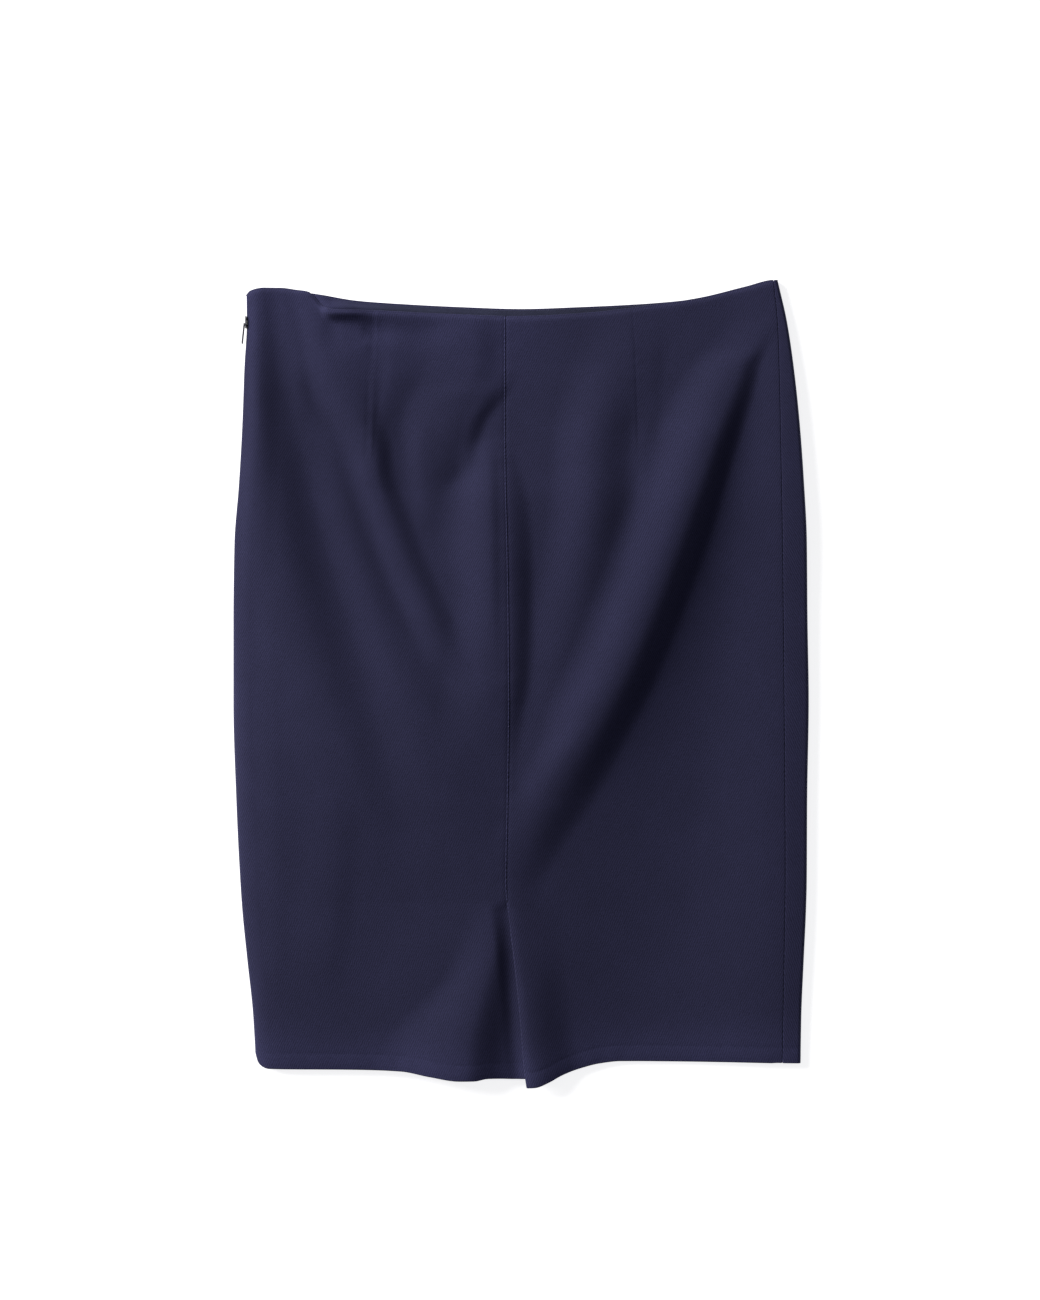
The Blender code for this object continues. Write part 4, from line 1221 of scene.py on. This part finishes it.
def lacquered_zinc(name, colour):
    """Zinc alloy, die-cast, barrelled and lacquered dark: a satin gloss, slightly uneven where the
    casting was tumbled, and paler where the lacquer has rubbed."""
    material, tree, shader = new_material(name)
    tumbled = add_node(tree, "TexNoise", {
        "Vector": in_mm(tree), "Scale": 1 / ZINC_MOTTLE, "Detail": 4.0})
    worn = tuple(min(1.0, RUBBED * share + 0.01) for share in colour)
    rubbed = add_node(tree, "MapRange", {"Value": tumbled, "From Min": 0.50, "From Max": 0.95})
    set_inputs(shader, {
        "Base Color": add_node(tree, "MixRGB", {
            "Fac": rubbed, "Color1": (*colour, 1), "Color2": (*worn, 1)}),
        "Roughness": add_node(tree, "MapRange", {"Value": tumbled, "To Min": 0.40, "To Max": 0.58}),
        "Normal": add_node(tree, "Bump", {
            "Height": tumbled, "Strength": 0.15, "Distance": 0.1 * MM}),
        "Metallic": 0.3,
        "Specular IOR Level": 0.2,
    })
    return material


def studio_floor(name, settings):
    """A lit white studio table: pale and even, and only faintly shaded by what lies on it."""
    material, tree, shader = new_material(name)
    grain = add_node(tree, "TexNoise", {
        "Vector": in_mm(tree), "Scale": 1 / FLOOR_MOTTLE, "Detail": 2.0})
    shade = add_node(tree, "MapRange", {"Value": grain, "To Min": 0.99, "To Max": 1.0})
    colour = settings.floor_colour
    set_inputs(shader, {
        "Base Color": add_node(tree, "VectorMath", {0: colour, "Scale": shade}, operation="SCALE"),
        "Roughness": 0.9,
        "Emission Color": (1, 1, 1, 1),
        "Emission Strength": settings.floor_glow,
    })
    return material


# ---------------------------------------------------------------------------------------------
# Modelling helpers
# ---------------------------------------------------------------------------------------------

TO_METRES = Matrix.Diagonal((MM, MM, MM, 1))


def finished(obj, name, material, body, replaces=None):
    """Names a piece, gives it its material, and sets it on its body."""
    obj.name = name
    obj.data.name = name
    obj.data.materials.clear()
    obj.data.materials.append(material)
    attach(obj, body)
    if replaces:
        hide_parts(replaces)


def select_only(*objects):
    """Selects these objects and no others, and makes the first one active."""
    for obj in list(bpy.context.selected_objects):
        obj.select_set(False)
    for obj in objects:
        obj.select_set(True)
    if objects:
        bpy.context.view_layer.objects.active = objects[0]


def joined(parts):
    select_only(*parts)
    bpy.ops.object.join()
    return parts[0]


def copied_along(prototype, places):
    """Copies of a small piece, one at each matrix, joined into one object at the origin."""
    copies = []
    for place in places:
        copy = bpy.data.objects.new(prototype.name, prototype.data.copy())
        copy.data.transform(place)
        bpy.context.scene.collection.objects.link(copy)
        copies.append(copy)
    bpy.data.objects.remove(prototype)
    return joined(copies)


def turned_to(position, ahead, up):
    """A matrix that puts a piece at a position in mm, with its X ahead and its Z up."""
    x = Vector(ahead).normalized()
    y = Vector(up).cross(x).normalized()
    z = x.cross(y)
    turn = Matrix((x, y, z)).transposed().to_4x4()
    return Matrix.Translation(Vector(position) * MM) @ turn


def select_faces(obj, wanted):
    """Selects the faces for which wanted(centre, normal) holds, and enters edit mode."""
    bpy.ops.object.mode_set(mode="OBJECT")
    mesh = obj.data
    chosen = set()
    for face in mesh.polygons:
        face.select = bool(wanted(face.center, face.normal))
        if face.select:
            chosen.update(face.vertices)
    for edge in mesh.edges:
        edge.select = False
    for point in mesh.vertices:
        point.select = point.index in chosen
    bpy.ops.object.mode_set(mode="EDIT")
    bpy.ops.mesh.select_mode(type="FACE")


def cut_at(position, normal):
    """Cuts the whole mesh in edit mode with a plane."""
    bpy.ops.mesh.select_all(action="SELECT")
    bpy.ops.mesh.bisect(plane_co=position, plane_no=normal)


def smoothed(obj, width, segments):
    """Rounds the sharp edges with an applied bevel and smooths between them."""
    bpy.ops.object.mode_set(mode="OBJECT")
    select_only(obj)
    bevel = obj.modifiers.new("rounded edges", "BEVEL")
    bevel.width = width
    bevel.segments = segments
    bevel.limit_method = "ANGLE"
    bevel.angle_limit = math.radians(35)
    bpy.ops.object.modifier_apply(modifier=bevel.name)
    bpy.ops.object.shade_smooth_by_angle(angle=math.radians(50))


def new_block(size, middle):
    """A block in millimetres, selected and in edit mode, ready to be shaped."""
    select_only()
    bpy.ops.mesh.primitive_cube_add(size=1, location=middle)
    block = bpy.context.object
    block.data.transform(Matrix.Translation(middle) @ Matrix.Diagonal((*size, 1)))
    block.location = (0, 0, 0)
    bpy.ops.object.mode_set(mode="EDIT")
    bpy.ops.mesh.select_all(action="DESELECT")
    return block


# ---------------------------------------------------------------------------------------------
# What a user may change
# ---------------------------------------------------------------------------------------------


def colour_property(name, description, default):
    return bpy.props.FloatVectorProperty(
        name=name, description=description, subtype="COLOR", default=linear(default))


def length_property(name, description, default):
    """A length in metres, whose default is given in millimetres."""
    return bpy.props.FloatProperty(
        name=name, description=description, unit="LENGTH", default=default * MM)


class SkirtCloth(bpy.types.PropertyGroup):
    colour: colour_property("Cloth", "Colour of the wool twill", "272741")
    facing_colour: colour_property("Facing", "Colour of the facing's wrong side", "282A3C")
    wall: length_property("Thickness", "Thickness of one layer of cloth", 0.9)
    grid: length_property("Grid", "Spacing of the mesh across the cloth", 2.3)
    twill_pitch: length_property("Twill rib", "Spacing of the slanting rib as drawn", 1.6)
    # Paler bands at the hem and waist: partly pressed nap, partly painted light
    pressed: bpy.props.FloatProperty(
        name="Pressed and painted-light bands", description="How much paler the cloth is where it was ironed and where light is painted",
        default=1.38, min=1)
    nap: bpy.props.FloatProperty(
        name="Nap", description="Strength of the soft bloom of the brushed face", default=0.14,
        min=0, max=1, subtype="FACTOR")


class SkirtThread(bpy.types.PropertyGroup):
    colour: colour_property("Thread", "Colour of the sewing thread", "45465F")
    pitch: length_property("Stitch pitch", "From one stitch to the next", 3.6)
    length: length_property("Stitch length", "Length of thread that shows", 2.3)
    thickness: length_property("Thickness", "Thickness of the thread", 0.38)


class SkirtZip(bpy.types.PropertyGroup):
    metal_colour: colour_property("Metal", "Colour of the slider and its pull", "4A4A52")
    teeth_colour: colour_property("Teeth", "Colour of the zip's coil", "25263A")
    pitch: length_property("Tooth pitch", "From one tooth to the next", 1.3)


class SkirtStudio(bpy.types.PropertyGroup):
    floor_colour: colour_property("Floor", "Colour of the studio floor", "D9D9DC")
    floor_glow: bpy.props.FloatProperty(
        name="Floor glow", description="How brightly the table is lit from below", default=0.8)
    key_power: bpy.props.FloatProperty(
        name="Key light", description="Power of the large soft light", default=690.0, unit="POWER")
    key_elevation: bpy.props.FloatProperty(
        name="Key elevation", description="Height of the soft light above the horizon",
        default=math.radians(21), subtype="ANGLE")
    key_azimuth: bpy.props.FloatProperty(
        name="Key azimuth", description="How far round from the left the light stands, to the waist",
        default=math.radians(30), subtype="ANGLE")
    sky: bpy.props.FloatProperty(
        name="Sky", description="Strength of the even light from all round", default=0.175)
    lens: bpy.props.FloatProperty(
        name="Lens", description="Focal length of the camera in millimetres", default=90.0)


# ---------------------------------------------------------------------------------------------
# One operator for each piece or group of like pieces
# ---------------------------------------------------------------------------------------------


class SKIRT_OT_back(bpy.types.Operator):
    """Builds both halves of the back with their folds, darts, seams, hems and vent"""

    bl_idname = "skirt.back"
    bl_label = "Back Panels"

    def execute(self, context):
        cloth = context.scene.skirt_cloth
        wall, pitch = cloth.wall / MM, cloth.grid / MM
        material = material_named(CLOTH, wool_twill, cloth.colour, cloth)
        length = BACK_TOP - BACK_FOOT
        vent = (VENT_TOP - BACK_FOOT) / length
        rows = walked(length, pitch, FINE_ROWS, (0, HEM_DEPTH, vent * length, length))
        rows[np.argmin(np.abs(rows - vent))] = vent
        across = walked(LEFT_WIDTH, pitch, FINE_COLUMNS, (0, LEFT_DART, LEFT_WIDTH))
        roll, underlap = np.linspace(0, 1, ROLL_LINES), np.linspace(2, 3, UNDERLAP_LINES)
        columns = [*roll[:-1], *(1 + across[:-1]), *underlap]
        left = cloth_object(
            "back_left_panel", place_back_left, LEFT_ENDS, columns, rows, wall,
            present=lambda t, v: t < 2 - NUDGE or v < vent - NUDGE)
        finished(left, "back_left_panel", material, "skirt", "back_left")

        rows = walked(length, pitch, FINE_ROWS, (0, HEM_DEPTH, length))
        columns = walked(RIGHT_WIDTH, pitch, FINE_COLUMNS, (0, RIGHT_DART, RIGHT_WIDTH))
        right = cloth_object(
            "back_right_panel", place_back_right, RIGHT_ENDS, columns, rows, wall)
        finished(right, "back_right_panel", material, "skirt", "back_right")
        return {"FINISHED"}


class SKIRT_OT_front(bpy.types.Operator):
    """Builds the front, which lies underneath and wraps round the right edge"""

    bl_idname = "skirt.front"
    bl_label = "Front Panel"

    def execute(self, context):
        cloth = context.scene.skirt_cloth
        wall, pitch = cloth.wall / MM, cloth.grid / MM
        under = walked(
            FRONT_WIDTH, FRONT_COARSER * pitch, FRONT_COARSER * FINE_COLUMNS,
            (0, *FRONT_DARTS, FRONT_WIDTH))
        over = walked(FRONT_TOP_WIDTH, FRONT_TOP_PITCH, FRONT_TOP_FINE, (FRONT_TOP_WIDTH,))
        curl, wrap = np.linspace(0, 1, CURL_LINES), np.linspace(2, 3, WRAP_LINES)
        columns = [*curl[:-1], *(1 + under[:-1]), *wrap[:-1], *(3 + over)]
        rows = walked(
            FRONT_LENGTH, FRONT_ROWS_COARSER * pitch, FINE_ROWS, (0, HEM_DEPTH, FRONT_LENGTH))
        front = cloth_object(
            "front_panel", place_front, FRONT_ENDS, columns, rows, wall, outward=-1)
        material = material_named(CLOTH, wool_twill, cloth.colour, cloth)
        finished(front, "front_panel", material, "skirt", "front")
        return {"FINISHED"}


class SKIRT_OT_facing(bpy.types.Operator):
    """Builds the facing inside the front's waist"""

    bl_idname = "skirt.facing"
    bl_label = "Waist Facing"

    def execute(self, context):
        cloth = context.scene.skirt_cloth
        width = FACING_RIGHT - FACING_LEFT
        columns = walked(width, FACING_PITCH, FACING_FINE, (0, width))
        rows = walked(FACING_DEPTH, FACING_ROW_PITCH, FACING_ROW_FINE, (0, FACING_DEPTH))
        facing = cloth_object("waist_facing", place_facing, FRONT_ENDS, columns, rows, FACING_WALL)
        material = wool_twill(f"{CLOTH}, wrong side", cloth.facing_colour, cloth, cloth.colour)
        finished(facing, "waist_facing", material, "skirt", "front_facing")
        return {"FINISHED"}


STITCH_SEED = 7
STITCH_SIDES = 6
STITCH_TAPER = 0.25  # how far a stitch's ends narrow, as a share of its thickness
STITCH_TIP = 0.3  # how far the tips stand out, as a share of its thickness
STITCH_SINK = 1.1  # how far its ends dip into the cloth, as a share of its thickness
STITCH_LEAN = 0.10  # how far a stitch may slant, as a share of its length
STITCH_V = 0.02  # about where the stitching runs between the hem and the waist

# Rows of stitches: from one t to another of the piece that they are sewn through, over a length
# in millimetres, on its upper side or its lower one
StitchRow = namedtuple("StitchRow", "name place ends start stop length up")
STITCH_ROWS = (
    StitchRow("hem_stitches_left", place_back_left, LEFT_ENDS, 1.0, 1.99, 200, 1),
    StitchRow("hem_stitches_right", place_back_right, RIGHT_ENDS, 0.01, 0.99, 207, 1),
    StitchRow("hem_stitches_front", place_front, FRONT_ENDS, 1.02, 1.98, 420, -1),
)


def thread_stitch(length, thickness):
    """One stitch: a short rod of thread whose ends taper and dip into the cloth."""
    select_only()
    bpy.ops.mesh.primitive_cylinder_add(
        vertices=STITCH_SIDES, radius=thickness / 2, depth=length, end_fill_type="NGON")
    stitch = bpy.context.object
    bpy.ops.object.mode_set(mode="EDIT")
    bpy.ops.mesh.select_all(action="DESELECT")
    bpy.ops.object.mode_set(mode="OBJECT")
    for face in stitch.data.polygons:
        face.select = abs(face.normal.z) > FACES_THAT_WAY
    bpy.ops.object.mode_set(mode="EDIT")
    bpy.ops.mesh.extrude_region_move()
    bpy.ops.mesh.inset(thickness=STITCH_TAPER * thickness, depth=STITCH_TIP * thickness)
    bpy.ops.object.mode_set(mode="OBJECT")
    stitch.data.transform(Matrix.Rotation(math.radians(90), 4, "Y"))
    for point in stitch.data.vertices:
        point.co.z -= STITCH_SINK * thickness * (abs(point.co.x) / (length / 2)) ** 4
    stitch.data.shade_smooth()
    return stitch


def stitch_places(row, pitch, wall):
    """Where each stitch of a hem lies: its place, and the way its thread runs."""
    t = np.linspace(row.start, row.stop, int(abs(row.stop - row.start) / (pitch / row.length)))
    x = row.place(t, STITCH_V + 0 * t, wall)[0]
    v = HEM_DEPTH / (read(row.ends.waist, "x", "y", x) - read(row.ends.hem, "x", "y", x))
    points = np.stack(row.place(t, v, wall)[:3], -1)
    for here, after in zip(points, points[1:]):
        lean = random.uniform(-STITCH_LEAN, STITCH_LEAN)
        ahead = after - here + np.array((0, lean * np.linalg.norm(after - here), 0))
        yield turned_to(here, ahead, (0, 0, row.up))


class SKIRT_OT_stitching(bpy.types.Operator):
    """Sews the row of stitches above the hems"""

    bl_idname = "skirt.stitching"
    bl_label = "Hem Stitching"

    def execute(self, context):
        thread = context.scene.skirt_thread
        wall, pitch = context.scene.skirt_cloth.wall / MM, thread.pitch / MM
        material = spun_thread("Navy spun polyester thread", thread.colour)
        random.seed(STITCH_SEED)
        for row in STITCH_ROWS:
            places = list(stitch_places(row, pitch, wall))
            stitches = copied_along(thread_stitch(thread.length, thread.thickness), places)
            finished(stitches, row.name, material, "skirt")
        return {"FINISHED"}


class SKIRT_OT_zip_chain(bpy.types.Operator):
    """Builds the closed coil in the left side seam, tooth by tooth"""

    bl_idname = "skirt.zip_chain"
    bl_label = "Zip Chain"

    def execute(self, context):
        zipper = context.scene.skirt_zip
        tooth = new_block(TOOTH, (0, 0, 0))
        select_faces(tooth, lambda centre, normal: abs(normal.z) > FACES_THAT_WAY)
        bpy.ops.transform.resize(value=TOOTH_TIP)
        smoothed(tooth, *TOOTH_ROUNDING)
        tooth.data.transform(TO_METRES)
        ys = np.arange(ZIP_BOTTOM + FIRST_TOOTH, ZIP_TOP - LAST_TOOTH, zipper.pitch / MM / 2)
        xs = read(SECTIONS, "y", "left", ys) + CHAIN_INSET + TEETH_INSET
        sides = np.where(np.arange(len(ys)) % 2, TEETH_APART, -TEETH_APART)
        zs = read(LEFT_SEAM, "y", "level", ys) - TEETH_DOWN + sides
        places = [Matrix.Translation(Vector(place) * MM) for place in zip(xs, ys, zs)]
        teeth = copied_along(tooth, places)
        material = moulded_nylon("Navy nylon coil", zipper.teeth_colour)
        finished(teeth, "zip_teeth", material, "skirt", "zip_chain")
        return {"FINISHED"}


def slider_frame():
    """The x of the slider's face and the height of the seam there."""
    edge = float(read(SECTIONS, "y", "left", SLIDER_Y))
    return edge - SEAM_GAP - SLIDER_THICKNESS, float(read(LEFT_SEAM, "y", "level", SLIDER_Y))


class SKIRT_OT_zip_slider(bpy.types.Operator):
    """Builds the slider: a waisted body with a sunk panel, and the bridge that holds the pull"""

    bl_idname = "skirt.zip_slider"
    bl_label = "Zip Slider"

    def execute(self, context):
        face, seam = slider_frame()
        size = (SLIDER_THICKNESS, SLIDER_LENGTH, SLIDER_WIDTH)
        body = new_block(size, (face + SLIDER_THICKNESS / 2, SLIDER_Y, seam))
        for way in (1, -1):
            cut_at((0, SLIDER_Y + way * SLIDER_WAIST, 0), (0, 1, 0))
        for way, share in ((1, SLIDER_TOP), (-1, SLIDER_FOOT)):
            select_faces(body, lambda centre, normal: normal.y * way > FACES_THAT_WAY)
            bpy.ops.transform.resize(
                value=(1, 1, share), center_override=(face, SLIDER_Y, seam))
        select_faces(body, lambda centre, normal: normal.x < -FACES_THAT_WAY)
        bpy.ops.mesh.inset(thickness=SLIDER_RIM, depth=-SLIDER_PANEL)
        smoothed(body, *SLIDER_ROUNDING)

        select_only()
        bpy.ops.mesh.primitive_plane_add(size=1, location=(0, 0, 0))
        bridge = bpy.context.object
        middle = (face + BRIDGE_SUNK, SLIDER_Y, seam)
        section = Matrix.Translation(middle) @ Matrix.Translation((0, BRIDGE_REACH, 0))
        section @= Matrix.Rotation(math.radians(90), 4, "Y")
        section @= Matrix.Diagonal((BRIDGE_WIDTH, BRIDGE_THICKNESS, 1, 1))
        bridge.data.transform(section)
        bpy.ops.object.mode_set(mode="EDIT")
        bpy.ops.mesh.select_all(action="SELECT")
        bpy.ops.mesh.spin(steps=BRIDGE_STEPS, angle=math.pi, center=middle, axis=(0, 0, 1))
        bpy.ops.mesh.select_all(action="SELECT")
        bpy.ops.transform.resize(value=(BRIDGE_FLATTENED, 1, 1), center_override=middle)
        bpy.ops.mesh.normals_make_consistent(inside=False)
        smoothed(bridge, *ROUNDING)
        slider = joined([body, bridge])
        slider.data.transform(TO_METRES)
        material = material_named(METAL, lacquered_zinc, context.scene.skirt_zip.metal_colour)
        finished(slider, "slider", material, "skirt", "zip_slider")
        return {"FINISHED"}


class SKIRT_OT_zip_pull(bpy.types.Operator):
    """Builds the pull tab: a forked tab with a sunk panel, hung from the bridge by its crossbar"""

    bl_idname = "skirt.zip_pull"
    bl_label = "Zip Pull"

    def execute(self, context):
        face, seam = slider_frame()
        inside = BRIDGE_WIDTH / 2 + FORK_GAP
        length = PULL_LENGTH - FORK_DEPTH
        tab = new_block((PULL_THICKNESS, length, PULL_WIDTH), (0, -FORK_DEPTH - length / 2, 0))
        for z in (inside, -inside):
            cut_at((0, 0, z), (0, 0, 1))
        cut_at((0, PULL_TIP - PULL_LENGTH, 0), (0, 1, 0))
        select_faces(tab, lambda centre, normal: normal.y < -FACES_THAT_WAY)
        bpy.ops.transform.resize(value=PULL_TIP_SHARES, center_override=(0, -PULL_LENGTH, 0))
        select_faces(
            tab, lambda centre, normal: normal.y > FACES_THAT_WAY and abs(centre.z) > inside)
        bpy.ops.mesh.extrude_region_move(
            TRANSFORM_OT_translate={"value": (0, FORK_DEPTH + FORK_BEYOND, 0)})
        for way in (1, -1):
            select_faces(
                tab, lambda centre, normal: normal.x * way > FACES_THAT_WAY
                and PULL_TIP - PULL_LENGTH < centre.y < -FORK_DEPTH)
            bpy.ops.mesh.inset(thickness=PULL_RIM, depth=-PULL_PANEL)
        smoothed(tab, *ROUNDING)
        select_only()
        bpy.ops.mesh.primitive_cylinder_add(
            vertices=CROSSBAR_SIDES, radius=CROSSBAR_RADIUS, depth=2 * (inside + CROSSBAR_HELD))
        crossbar = bpy.context.object
        smoothed(crossbar, *CROSSBAR_ROUNDING)
        pull = joined([tab, crossbar])
        hinge = Vector((face - CROSSBAR_OUT, SLIDER_Y - CROSSBAR_DOWN, seam)) * MM
        tilt = Matrix.Rotation(-math.radians(PULL_TILT), 4, "Z")
        pull.data.transform(Matrix.Translation(hinge) @ tilt @ TO_METRES)
        material = material_named(METAL, lacquered_zinc, context.scene.skirt_zip.metal_colour)
        finished(pull, "pull_tab", material, "pull", "zip_pull")
        return {"FINISHED"}


class SKIRT_OT_studio(bpy.types.Operator):
    """Sets the pale floor, the soft light and the camera that looks straight down"""

    bl_idname = "skirt.studio"
    bl_label = "Studio"

    def execute(self, context):
        scene, studio = context.scene, context.scene.skirt_studio
        select_only()
        bpy.ops.mesh.primitive_plane_add(size=FLOOR_SIZE, location=(0, 0, 0))
        floor = bpy.context.object
        floor.name = "floor"
        floor.data.transform(Matrix.Translation((0, 0, -FLOOR_BELOW)))
        floor.data.materials.append(studio_floor("White studio table", studio))
        floor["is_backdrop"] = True

        key = bpy.data.objects.new("key", bpy.data.lights.new("key", "AREA"))
        key.data.shape = "DISK"
        key.data.size = KEY_SIZE
        key.data.energy = studio.key_power
        key.data.color = linear("FFFDFA")
        level_way = math.cos(studio.key_elevation)
        away = Vector((-level_way * math.cos(studio.key_azimuth),
                       level_way * math.sin(studio.key_azimuth),
                       math.sin(studio.key_elevation)))
        key.location = VIEW_MIDDLE + KEY_DISTANCE * away
        key.rotation_euler = away.to_track_quat("Z", "Y").to_euler()
        scene.collection.objects.link(key)

        world = bpy.data.worlds.new("studio")
        world.use_nodes = True
        tree = world.node_tree
        tree.nodes.clear()
        seen = add_node(tree, "LightPath").outputs["Is Camera Ray"]
        white = add_node(tree, "Background", {"Color": (1, 1, 1, 1), "Strength": BACKDROP})
        sky = add_node(tree, "Background", {
            "Color": (*linear("F4F6FF"), 1), "Strength": studio.sky})
        shown = add_node(tree, "MixShader", {0: seen, 1: sky, 2: white})
        add_node(tree, "OutputWorld", {"Surface": shown})
        scene.world = world
        scene.view_settings.view_transform = "Standard"

        camera = bpy.data.objects.new("camera", bpy.data.cameras.new("camera"))
        camera.data.lens = studio.lens
        camera.data.sensor_width = SENSOR
        camera.location = VIEW_MIDDLE + Vector((0, 0, VIEW_LENGTH * studio.lens / SENSOR))
        scene.collection.objects.link(camera)
        scene.camera = camera
        return {"FINISHED"}


OPERATORS = (
    SKIRT_OT_back,
    SKIRT_OT_front,
    SKIRT_OT_facing,
    SKIRT_OT_stitching,
    SKIRT_OT_zip_chain,
    SKIRT_OT_zip_slider,
    SKIRT_OT_zip_pull,
    SKIRT_OT_studio,
)


class VIEW3D_PT_skirt(bpy.types.Panel):
    """Lists the operators in the order in which they build the skirt"""

    bl_label = "Pencil Skirt"
    bl_space_type = "VIEW_3D"
    bl_region_type = "UI"
    bl_category = "Skirt"

    def draw(self, context):
        for operator in OPERATORS:
            self.layout.operator(operator.bl_idname)


GROUPS = {
    "skirt_cloth": SkirtCloth,
    "skirt_thread": SkirtThread,
    "skirt_zip": SkirtZip,
    "skirt_studio": SkirtStudio,
}


def register():
    for name, group in GROUPS.items():
        bpy.utils.register_class(group)
        setattr(bpy.types.Scene, name, bpy.props.PointerProperty(type=group))
    for cls in (*OPERATORS, VIEW3D_PT_skirt):
        bpy.utils.register_class(cls)


def unregister():
    for cls in (VIEW3D_PT_skirt, *reversed(OPERATORS)):
        bpy.utils.unregister_class(cls)
    for name, group in GROUPS.items():
        delattr(bpy.types.Scene, name)
        bpy.utils.unregister_class(group)


def main():
    register()
    bpy.ops.skirt.back()
    bpy.ops.skirt.front()
    bpy.ops.skirt.facing()
    bpy.ops.skirt.stitching()
    bpy.ops.skirt.zip_chain()
    bpy.ops.skirt.zip_slider()
    bpy.ops.skirt.zip_pull()
    bpy.ops.skirt.studio()
    boxes = {"cad": CAD_BOX, "visual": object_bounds()}
    {name: [list(corner) for corner in box] for name, box in boxes.items()}


if __name__ == "__main__":
    main()
